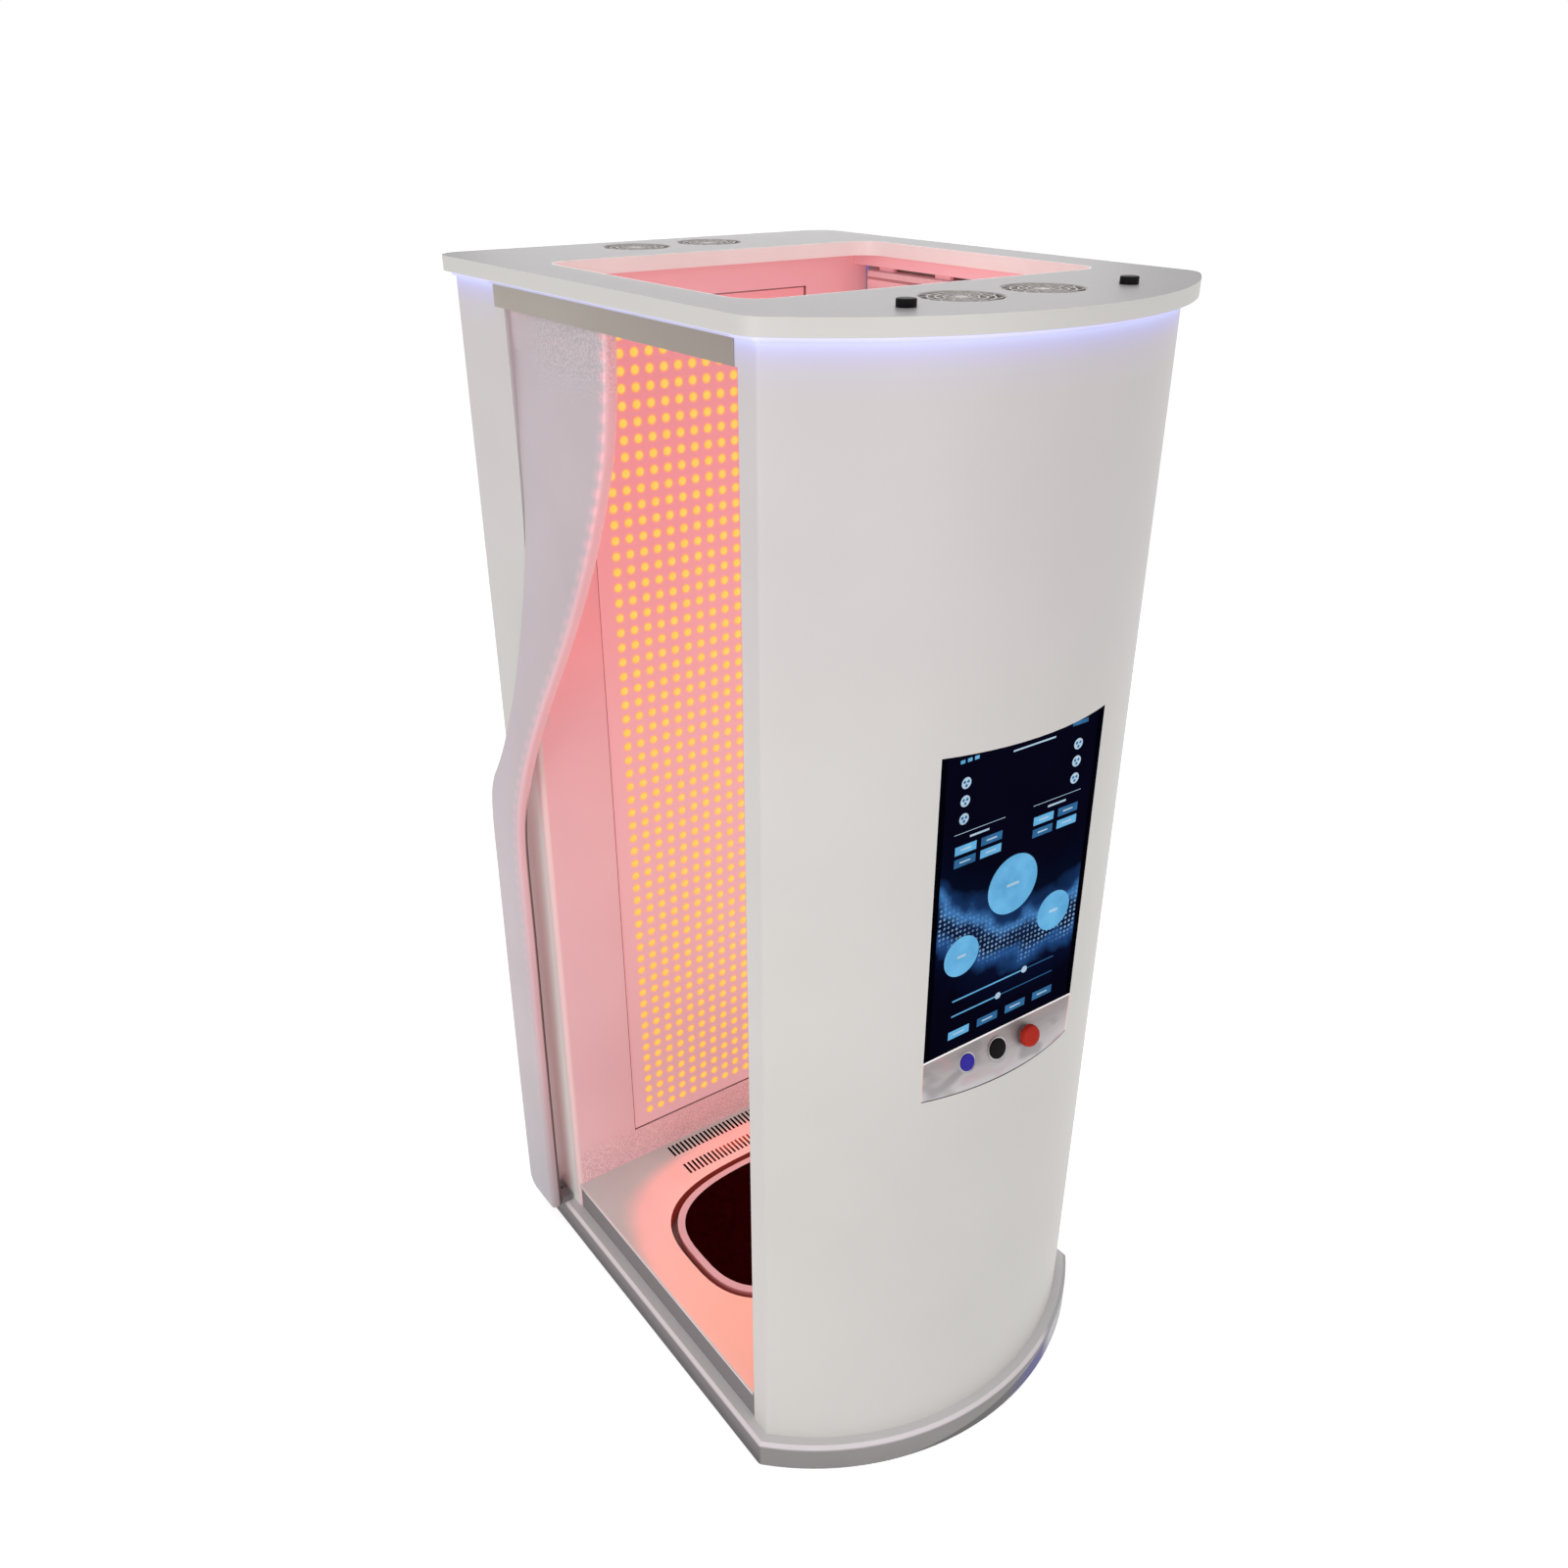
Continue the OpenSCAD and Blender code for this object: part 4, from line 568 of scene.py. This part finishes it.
def bar(bm, y, z, wide, high, tint, lift=0.0):
    """A filled rectangle of the picture, lifted over what it lies on."""
    made = bmesh.ops.create_grid(bm, x_segments=1, y_segments=1, size=0.5, matrix=on_glass(y, z, lift, wide, high))
    for face in {f for v in made["verts"] for f in v.link_faces}:
        face.material_index = tint


def disc(bm, y, z, r, tint, hole=0.0, lift=0.0):
    """A filled disc of the picture, or a ring round a hole."""
    made = bmesh.ops.create_circle(bm, cap_ends=True, radius=r, segments=48, matrix=on_glass(y, z, lift))
    faces = list({f for v in made["verts"] for f in v.link_faces})
    for face in faces:
        face.material_index = tint
    if hole:
        bmesh.ops.inset_region(bm, faces=faces, thickness=r - hole, use_even_offset=True)
        bmesh.ops.delete(bm, geom=faces, context="FACES_ONLY")


bm = bmesh.new()
bar(bm, 0.02, 1.462, 0.090, 0.0030, PALE)
for k in range(3):
    bar(bm, -0.128 + 0.014 * k, 1.473, 0.009, 0.006, SKY)
bar(bm, 0.118, 1.473, 0.034, 0.007, DEEP)
for side in (-1, 1):
    for k in range(3):
        y, z = side * icon_column, 1.436 - 0.030 * k
        disc(bm, y, z, 0.0095, PALE)
        for turn in range(3):
            a = math.radians(30 + 120 * turn)
            disc(bm, y + 0.0042 * math.cos(a), z + 0.0042 * math.sin(a), 0.0026, DEEP, lift=0.0002)
    bar(bm, side * bar_column, 1.352, 0.105, 0.0010, PALE)
    bar(bm, side * bar_column, 1.342, 0.040, 0.0036, PALE)
    for k in range(2):
        for j in range(2):
            tint = DEEP if (j + k) % 2 else SKY
            bar(bm, side * bar_column - 0.027 + 0.054 * j, 1.323 - 0.022 * k, 0.044, 0.015, tint)
            bar(bm, side * bar_column - 0.027 + 0.054 * j, 1.323 - 0.022 * k, 0.022, 0.0026, PALE, lift=0.0002)
for y, z, r in ((0.0, 1.222, 0.054), (-dial_column, 1.124, 0.037), (dial_column, 1.136, 0.037)):
    disc(bm, y, z, r, SKY)
    disc(bm, y, z, r + 0.0022, PALE, hole=r)
    bar(bm, y, z, 0.5 * r, 0.0050, PALE, lift=0.0002)
for k, share in enumerate((0.7, 0.45)):
    z = 1.040 - 0.030 * k
    bar(bm, 0, z, 2 * slider_half, 0.0018, DEEP)
    bar(bm, -slider_half + slider_half * share, z, 2 * slider_half * share, 0.0030, SKY, lift=0.0001)
    disc(bm, -slider_half + 2 * slider_half * share, z, 0.0065, PALE, lift=0.0002)
for k in range(4):
    bar(bm, -0.096 + 0.064 * k, 0.972, 0.046, 0.016, DEEP if k else SKY)
    bar(bm, -0.096 + 0.064 * k, 0.972, 0.024, 0.0028, PALE, lift=0.0002)
picture = place(bm, "display_picture", "booth", *picture_finishes)


# Button strip
# A brushed steel strip, straight at its top and bowed at its foot, with a blue and a black push button and a red
# mushroom stop button in polished bezels. Its sides carry a painted red line that stands in for the light behind.
brushed, tree, skin = finish("brushed_steel", "#B5ABAB", Roughness=0.4, Metallic=0.5, Emission_Color=linear("#FF8A86"))
where = add(tree, "TexCoord").outputs["Object"]
axes = add(tree, "SeparateXYZ", {0: where})
# The brushing runs across the strip, drawn 0.8 mm coarse so that it shows
stretched = add(tree, "Mapping", {"Vector": where, "Scale": (30.0, 4.0, 1200.0)})
grain = add(tree, "TexNoise", {"Vector": stretched, "Scale": 1.0})
tone = add(tree, "ValToRGB", {0: grain.outputs["Fac"]}, stops=[(0.3, "#8C8484"), (0.7, "#9C9393")])
foot = add(tree, "MapRange", {"Value": axes.outputs["Z"], "From Min": 0.925, "From Max": 0.862, "To Max": 0.8})
tone = add(tree, "MixRGB", {0: foot, 1: tone, 2: linear("#C4C0C3")})
# Painted reflections: soft smears where the strip mirrors the studio, rosy ones and dark ones, wider than they are
# high
smear = add(tree, "Mapping", {"Vector": where, "Scale": (1.0, 14.0, 26.0)})
smear = add(tree, "TexNoise", {"Vector": smear, "Scale": 1.0, "Detail": 1.0})
rosy = add(tree, "MapRange", {"Value": smear.outputs["Fac"], "From Min": 0.52, "From Max": 0.68, "To Max": 0.6})
tone = add(tree, "MixRGB", {0: rosy, 1: tone, 2: linear("#B08A92")})
dark = add(tree, "MapRange", {"Value": smear.outputs["Fac"], "From Min": 0.42, "From Max": 0.3, "To Max": 0.5})
tone = add(tree, "MixRGB", {0: dark, 1: tone, 2: linear("#6E696C")})
# A painted highlight as a thin bright line where the strip meets the glass, and painted shade as a thin dark one along
# its bowed foot
crown = add(tree, "MapRange", {"Value": axes.outputs["Z"], "From Min": 0.9368, "From Max": 0.9376})
tone = add(tree, "MixRGB", {0: crown, 1: tone, 2: linear("#F2EEEC")})
under = add(tree, "MapRange", {"Value": axes.outputs["Z"], "From Min": 0.8606, "From Max": 0.8598})
tone = add(tree, "MixRGB", {0: under, 1: tone, 2: linear("#2A2628")})
feed(tree, skin, Base_Color=tone)
# Painted glow: a red line on the strip's sides for the light behind
right = add(tree, "MapRange", {"Value": axes.outputs["Y"], "From Min": 0.1665, "From Max": 0.1695, "To Max": 0.6})
left = add(tree, "MapRange", {"Value": axes.outputs["Y"], "From Min": -0.1675, "From Max": -0.1695, "To Max": 0.3})
side = add(tree, "Math", {0: right, 1: left}, operation="MAXIMUM")
low = add(tree, "Math", {0: axes.outputs["Z"], 1: 0.9395}, operation="LESS_THAN")
side = add(tree, "Math", {0: side, 1: low}, operation="MULTIPLY")
feed(tree, skin, Emission_Strength=side)
dress(brushed, "button_panel", "screen_surround")
round_off(0.0, "button_panel", "button_bezels")


def turned(bm, profile, seat):
    """Turns a profile of (radius, height) points about the seat's own upright axis."""
    line = [bm.verts.new((r, 0, h)) for r, h in profile]
    edges = [bm.edges.new(pair) for pair in zip(line, line[1:])]
    bmesh.ops.spin(bm, geom=line + edges, cent=(0, 0, 0), axis=(0, 0, 1), angle=math.tau, steps=56, use_merge=True)
    bmesh.ops.remove_doubles(bm, verts=bm.verts, dist=0.00001)
    bmesh.ops.transform(bm, matrix=seat, verts=bm.verts)


def rounded(r, low, high, radius, steps=5):
    """Profile of a round cap of this radius, from its foot to the middle of its top, with a rounded upper edge."""
    arc = [(r - radius + radius * math.cos(math.radians(90 * k / steps)),
            high - radius + radius * math.sin(math.radians(90 * k / steps))) for k in range(steps + 1)]
    return [(0, low), (r, low)] + arc + [(0, high)]


# The caps stand square on the strip, which leans from its straight top out to its bowed foot
bow_r, bow_middle = 0.55, -0.017
strip_top_x, strip_top_z, strip_height = 0.50607, 0.940, 0.082
button_z, button_lean = 0.90802, 73.5
cap_foot, cap_top, cap_round = -0.008, 0.0045, 0.0014
button_seats = []
for y in (-0.080, -0.013, 0.054):
    bulge = math.sqrt(bow_r ** 2 - y * y) + bow_middle
    x = strip_top_x + (bulge - strip_top_x) * (strip_top_z - button_z) / strip_height
    button_seats.append(Matrix.Translation((x, y, button_z)) @ Matrix.Rotation(math.radians(button_lean), 4, "Y"))

# Polished nickel plate on the bezels: a thin bright ring round each cap
nickel, tree, skin = finish("polished_nickel", "#A8A5A8", Roughness=0.22, Metallic=1.0)
clouded(tree, skin, 120.0, "#A09DA0", "#B2AFB2")
dress(nickel, "button_bezels")

# Moulded plastic, coloured through: each cap is of one deep colour with a satin, hardly mirroring face
for seat, name, body, colour, edge, profile in (
    (button_seats[0], "blue_button", "blue_push", "#3A31A2", "#342B98",
     rounded(0.015, cap_foot, cap_top, cap_round)),
    (button_seats[1], "black_button", "black_push", "#080505", "#060404",
     rounded(0.018, cap_foot, cap_top, cap_round)),
    (button_seats[2], "stop_button", "stop_push", "#B42E22", "#AA2A1E",
     [(0, cap_foot), (0.010, cap_foot), (0.010, 0.008), (0.0185, 0.008), (0.0198, 0.0092), (0.0200, 0.0110),
      (0.0194, 0.0150), (0.0180, 0.0180), (0.0155, 0.0194), (0.0120, 0.0200), (0, 0.0200)]),
):
    plastic, tree, skin = finish(name + "_plastic", colour, Roughness=0.45, Specular_IOR_Level=0.07)
    clouded(tree, skin, 80.0, edge, colour)
    bm = bmesh.new()
    turned(bm, profile, seat)
    cap = place(bm, name + "_cap", body, plastic)
    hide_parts(name)


# Headers
# A folded steel rail over each doorway, fixed between the pods, which hides the leaf's track and hangers. Its satin
# taupe coat is painted darker towards the bow as painted shade, where less light falls on it.
taupe, tree, skin = finish("taupe_coat", "#A0978B", Roughness=0.4)
_, axes, tone = clouded(tree, skin, 7.0, "#A39A90", "#AAA197")
away = add(tree, "MapRange", {"Value": axes.outputs["X"], "From Min": -0.2, "From Max": 0.32})
tone = add(tree, "MixRGB", {0: away, 1: tone, 2: linear("#978D84")})
feed(tree, skin, Base_Color=tone)
dress(taupe, "front_header", "rear_header")


# Sliding leaves
# Two S-shaped slabs of 26 mm acrylic with a satin face, one per doorway. Each hangs behind the header, swings out
# past the plinth on its way down and has well-rounded edges, with a painted pink glow and painted reflections of
# the lamps.
lilac, tree, skin = finish("satin_lilac_acrylic", "#C3B9BE", Roughness=0.36)
where, axes, tone = clouded(tree, skin, 6.0, "#C0B2B8", "#C6B8BE")
# Frosting near the top, 4 mm coarse so that it reads in the picture
frost = add(tree, "TexNoise", {"Vector": where, "Scale": 260.0, "Detail": 2.0})
frost = add(tree, "ValToRGB", {0: frost.outputs["Fac"]}, stops=[(0.36, "#978E92"), (0.64, "#DCD3D7")])
high = add(tree, "MapRange", {"Value": axes.outputs["Z"], "From Min": 1.90, "From Max": 1.96, "To Max": 0.35})
right = add(tree, "MapRange", {"Value": axes.outputs["X"], "From Min": -0.30, "From Max": -0.22})
high = add(tree, "Math", {0: high, 1: right}, operation="MULTIPLY")
tone = add(tree, "MixRGB", {0: high, 1: tone, 2: frost})
cool = add(tree, "MapRange", {"Value": axes.outputs["Z"], "From Min": 0.5, "From Max": 0.1, "To Max": 0.8})
tone = add(tree, "MixRGB", {0: cool, 1: tone, 2: linear("#A9A4AA")})
# Painted shadow: a narrow dark band on the leaf just under the header
head = add(tree, "Math", {0: axes.outputs["Z"], 1: 2.026, 2: 0.0025}, operation="COMPARE")
tone = add(tree, "MixRGB", {0: head, 1: tone, 2: linear("#6E6466")})
# Painted glow: the rounded edge towards the bow and the face towards the cabin glow pink, less towards the foot
facing = add(tree, "SeparateXYZ", {0: add(tree, "NewGeometry").outputs["Normal"]})
edge = add(tree, "MapRange", {"Value": facing.outputs["X"], "From Min": 0.04, "From Max": 0.75, "To Max": 0.5},
           interpolation_type="SMOOTHSTEP")
own_side = add(tree, "Math", {0: axes.outputs["Y"]}, operation="SIGN")
inwards = add(tree, "Math", {0: own_side, 1: facing.outputs["Y"]}, operation="MULTIPLY")
inwards = add(tree, "MapRange", {"Value": inwards, "From Min": -0.3, "From Max": -0.9, "To Max": 0.5})
fade = add(tree, "MapRange", {"Value": axes.outputs["Z"], "From Min": 0.15, "From Max": 1.4, "To Min": 0.08})
edge = add(tree, "Math", {0: edge, 1: fade}, operation="MULTIPLY")
glow = add(tree, "Math", {0: edge, 1: inwards}, operation="MAXIMUM")
# Painted reflections of the lamps, one every 30 mm, on the upper part of the rounded edge
up = add(tree, "Math", {0: axes.outputs["Z"], 1: first_row}, operation="SUBTRACT")
up = add(tree, "Math", {0: up, 1: lamp_pitch / 2}, operation="PINGPONG")
spot = add(tree, "MapRange", {"Value": up, "From Min": 0.012, "From Max": 0.003}, interpolation_type="SMOOTHSTEP")
upper = add(tree, "MapRange", {"Value": axes.outputs["Z"], "From Min": 1.6, "From Max": 1.75})
spot = add(tree, "Math", {0: spot, 1: upper}, operation="MULTIPLY")
near = add(tree, "MapRange", {"Value": facing.outputs["X"], "From Min": 0.05, "From Max": 0.45})
beyond = add(tree, "MapRange", {"Value": facing.outputs["X"], "From Min": 0.9, "From Max": 0.7})
spot = add(tree, "Math", {0: spot, 1: near}, operation="MULTIPLY")
spot = add(tree, "Math", {0: spot, 1: beyond}, operation="MULTIPLY")
hue = add(tree, "MixRGB", {0: spot, 1: linear("#B85A60"), 2: linear("#FF7A7C")})
feed(tree, skin, Emission_Color=hue)
spot = add(tree, "Math", {0: spot, 1: 0.34}, operation="MULTIPLY")
glow = add(tree, "Math", {0: glow, 1: spot}, operation="MAXIMUM")
# Painted glow that creeps 28 mm from the edge into the face, stronger beside each painted reflection of a lamp
creep = add(tree, "Attribute", attribute_name="from_edge")
creep = add(tree, "MapRange", {"Value": creep.outputs["Fac"], "From Min": 0.028, "From Max": 0.006},
            interpolation_type="SMOOTHSTEP")
beside = add(tree, "MapRange", {"Value": up, "From Min": 0.013, "From Max": 0.003, "To Min": 0.07, "To Max": 0.32})
creep = add(tree, "Math", {0: creep, 1: beside}, operation="MULTIPLY")
creep = add(tree, "Math", {0: creep, 1: fade}, operation="MULTIPLY")
on_face = add(tree, "Math", {0: facing.outputs["X"], 1: 0.3}, operation="LESS_THAN")
creep = add(tree, "Math", {0: creep, 1: on_face}, operation="MULTIPLY")
glow = add(tree, "Math", {0: glow, 1: creep}, operation="MAXIMUM")
# Painted shade: below the bend the edge's inner rounding is painted dark, a thin dark line along the jamb
shade = add(tree, "Math", {0: own_side, 1: facing.outputs["Y"]}, operation="MULTIPLY")
shade = add(tree, "MapRange", {"Value": shade, "From Min": -0.05, "From Max": -0.3})
turned_out = add(tree, "Math", {0: facing.outputs["X"], 1: 0.1}, operation="GREATER_THAN")
shade = add(tree, "Math", {0: shade, 1: turned_out}, operation="MULTIPLY")
below = add(tree, "MapRange", {"Value": axes.outputs["Z"], "From Min": 1.16, "From Max": 1.08})
shade = add(tree, "Math", {0: shade, 1: below}, operation="MULTIPLY")
tone = add(tree, "MixRGB", {0: shade, 1: tone, 2: linear("#5A4646")})
# Painted shade: the edge beside the jamb lip is painted a cool grey for the shaded seam there
jamb_edge = add(tree, "Math", {0: facing.outputs["X"], 1: -0.3}, operation="LESS_THAN")
tone = add(tree, "MixRGB", {0: jamb_edge, 1: tone, 2: linear("#A4B0B6")})
feed(tree, skin, Base_Color=tone)
shade = add(tree, "Math", {0: 1.0, 1: shade}, operation="SUBTRACT")
glow = add(tree, "Math", {0: glow, 1: shade}, operation="MULTIPLY")
feed(tree, skin, Emission_Strength=glow)

leaf_foot, leaf_head = 0.057, 2.040
foot_corner, head_corner = 0.035, 0.012
leaf_thickness = 0.026
edge_round = 0.0095
slice_height, slices = 0.024, 78
# Its face starts this far from the booth's middle, leans out a little at its head and swings out below
head_y = 0.383
lean, lean_from, lean_over = 0.007, 2.026, 0.3
swing, swing_from, swing_over = 0.060, 1.740, 0.690
sharp_from, sharp_over = 1.05, 0.3
leaf_left = ((0.057, -0.148), (1.000, -0.128), (1.090, -0.121), (1.140, -0.108), (1.195, -0.072), (1.250, -0.044),
             (1.360, -0.007), (1.508, 0.017), (1.710, 0.035), (2.040, 0.036))
leaf_right = ((0.057, -0.029), (0.485, -0.024), (0.800, -0.016), (1.000, -0.013), (1.080, -0.003), (1.150, 0.015),
              (1.240, 0.048), (1.345, 0.095), (1.490, 0.171), (1.680, 0.260), (1.820, 0.318), (1.920, 0.336),
              (2.040, 0.343))


def ease(t):
    """Smooth step from 0 to 1."""
    t = min(max(t, 0), 1)
    return t * t * (3 - 2 * t)


def edge_at(points, z):
    """Smooth curve through the (height, place) points of one edge of the leaf, measured along the booth."""
    z = min(max(z, points[0][0]), points[-1][0])
    i = max(k for k in range(len(points) - 1) if points[k][0] <= z)
    (z0, a), (z1, b) = points[i], points[i + 1]
    rises = [0 if k in (0, len(points) - 1) else (points[k + 1][1] - points[k - 1][1])
             / (points[k + 1][0] - points[k - 1][0]) for k in (i, i + 1)]
    t = (z - z0) / (z1 - z0)
    return (flat_wall + (2 * t ** 3 - 3 * t * t + 1) * a + (t ** 3 - 2 * t * t + t) * (z1 - z0) * rises[0]
            + (3 * t * t - 2 * t ** 3) * b + (t ** 3 - t * t) * (z1 - z0) * rises[1])


def leaf_slab():
    """The slab of the photographed doorway: an outline cut at many heights, thickened, bent and rounded."""
    bm = bmesh.new()
    steps = [0.12 + slice_height * k for k in range(slices)]
    outline = [(edge_at(leaf_right, leaf_foot), leaf_foot)]
    outline += [(edge_at(leaf_right, z), z) for z in steps if z < leaf_head - head_corner - 0.01]
    low, high = leaf_foot + foot_corner, leaf_head - head_corner
    turns = [math.radians(9 * k) for k in range(11)]
    outline += [(edge_at(leaf_right, high) - head_corner + head_corner * math.cos(a), high + head_corner * math.sin(a))
                for a in turns]
    outline += [(edge_at(leaf_left, leaf_head), leaf_head)]
    outline += [(edge_at(leaf_left, z), z) for z in reversed(steps) if z < leaf_head - 0.02]
    outline += [(edge_at(leaf_left, low) + foot_corner - foot_corner * math.cos(a), low - foot_corner * math.sin(a))
                for a in turns]
    bm.faces.new([bm.verts.new((x, 0, z)) for x, z in outline])
    for k in range(slices + 1):
        bmesh.ops.bisect_plane(bm, geom=bm.verts[:] + bm.edges[:] + bm.faces[:], dist=0.00002,
                               plane_co=(0, 0, 0.092 + slice_height * k), plane_no=(0, 0, 1))
    grown = bmesh.ops.extrude_face_region(bm, geom=bm.faces[:])
    back = [v for v in grown["geom"] if isinstance(v, bmesh.types.BMVert)]
    bmesh.ops.translate(bm, vec=(0, leaf_thickness, 0), verts=back)
    for v in bm.verts:
        v.co.y -= (head_y + lean * ease((lean_from - v.co.z) / lean_over)
                   + swing * ease((swing_from - v.co.z) / swing_over))
    bmesh.ops.recalc_face_normals(bm, faces=bm.faces)
    from_edge = bm.verts.layers.float.new("from_edge")
    for v in bm.verts:
        v[from_edge] = edge_at(leaf_right, v.co.z) - v.co.x
    rounding = bm.edges.layers.float.new("bevel_weight_edge")
    for edge in bm.edges:
        middle = (edge.verts[0].co + edge.verts[1].co) / 2
        if edge.calc_face_angle(0) > 1:
            beside_lip = middle.x < (edge_at(leaf_left, middle.z) + edge_at(leaf_right, middle.z)) / 2
            sharp = ease((middle.z - sharp_from) / sharp_over)
            edge[rounding] = 1 - 0.8 * sharp if beside_lip else 1
    return bm


for side in ("front", "rear"):
    bm = leaf_slab()
    if side == "rear":
        bmesh.ops.scale(bm, vec=(1, -1, 1), verts=bm.verts)
    leaf = place(bm, side + "_sliding_leaf", side + "_leaf_set", lilac)
    bevel = leaf.modifiers.new("rounding", "BEVEL")
    bevel.limit_method = "WEIGHT"
    bevel.width = edge_round
    bevel.segments = 5
    leaf.modifiers.move(1, 0)
    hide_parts(side + "_leaf")

# Grey nylon on the guides at the leaves' feet; the hangers carry the light walls' coat
nylon, tree, skin = finish("grey_nylon", "#7C777A", Roughness=0.5)
clouded(tree, skin, 40.0, "#726D70", "#807B7E")
dress(nylon, "front_glides", "rear_glides")
dress(wall_coat, "front_hangers", "rear_hangers")


# Roof
# A 24 mm plate in satin coat, its rim paler than its top, with a light opening lined in acrylic with a painted glow,
# two black caps and a lilac light strip under its rim.
roof_coat, tree, skin = finish("roof_coat", "#BEBBBB", Roughness=0.45)
where, axes, tone = clouded(tree, skin, 3.0, "#A9A5A6", "#AFABAC")
facing = add(tree, "SeparateXYZ", {0: add(tree, "NewGeometry").outputs["Normal"]})
rim = add(tree, "Math", {0: facing.outputs["Z"], 1: 0.5}, operation="LESS_THAN")
across = add(tree, "MapRange", {"Value": axes.outputs["X"], "From Min": -0.4, "From Max": 0.45, "To Min": 0.35,
                                "To Max": 0.0})
tone = add(tree, "MixRGB", {0: across, 1: tone, 2: linear("#8E898C")})
tone = add(tree, "MixRGB", {0: rim, 1: tone, 2: linear("#D6D3CF")})
feed(tree, skin, Base_Color=tone)
orange_peel(tree, skin, where, 380.0, 0.04)
dress(roof_coat, "top_plate")
round_off(0.0, "top_plate")

# Opal acrylic with a painted glow for the light from below: pale rose, with an upper edge as plain and grey as the
# plate's top
liner, tree, skin = finish("light_liner_acrylic", "#F5C9C4", Roughness=0.3, Emission_Color=linear("#D0B4B2"))
_, _, tone = clouded(tree, skin, 8.0, "#E0D8D8", "#E6E0E0")
facing = add(tree, "SeparateXYZ", {0: add(tree, "NewGeometry").outputs["Normal"]})
top = add(tree, "Math", {0: facing.outputs["Z"], 1: 0.5}, operation="GREATER_THAN")
tone = add(tree, "MixRGB", {0: top, 1: tone, 2: linear("#ADA9AA")})
feed(tree, skin, Base_Color=tone)
lit = add(tree, "MapRange", {"Value": top, "To Min": 0.2, "To Max": 0.0})
feed(tree, skin, Emission_Strength=lit)
dress(liner, "skylight_liner")

# Opal acrylic strip: almost white at the plate and lilac below, so the light seems to start under the rim.
# Over the doorways it is a thin bright line.
strip_half = 0.349
strip, tree, skin = finish("accent_strip_acrylic", "#D9D9F0", Roughness=0.3, Emission_Strength=1.0)
_, axes, _ = clouded(tree, skin, 8.0, "#C8C8E6", "#D2D2F0")
drop = add(tree, "MapRange", {"Value": axes.outputs["Z"], "From Min": 2.070, "From Max": 2.062})
lit = add(tree, "ValToRGB", {0: drop}, stops=[(0.0, "#D8D8FF"), (0.35, "#9494E8"), (1.0, "#5A5ABE")])
over_door = add(tree, "Math", {0: axes.outputs["X"], 1: cabin_middle, 2: strip_half}, operation="COMPARE")
line = add(tree, "MapRange", {"Value": axes.outputs["Z"], "From Min": 2.0646, "From Max": 2.0654})
line = add(tree, "MixRGB", {0: line, 1: linear("#34303E"), 2: linear("#9C9CDC")})
lit = add(tree, "MixRGB", {0: over_door, 1: lit, 2: line})
feed(tree, skin, Emission_Color=lit)
dress(strip, "accent_light")


# Roof fans
# Four axial fans of 120 mm, each under a pressed steel guard of rings and swirling bars that lies just below the
# plate's top. Frames and rotors are moulded in grey-brown plastic with a dull face.
fan_plastic, tree, skin = finish("fan_plastic", "#7A6C6C", Roughness=0.5)
clouded(tree, skin, 40.0, "#6E6060", "#7E7070")
dress(fan_plastic, "fan_frames", "fan_rotor_1", "fan_rotor_2", "fan_rotor_3", "fan_rotor_4")

# Powder coat on the guards: pale, with a speckle of about 8 mm that breaks up the rings
guard_coat, tree, skin = finish("guard_coat", "#C9C5C3", Roughness=0.45)
clouded(tree, skin, 120.0, "#B4ACAB", "#D2CBC9")
dress(guard_coat, "fan_grilles")
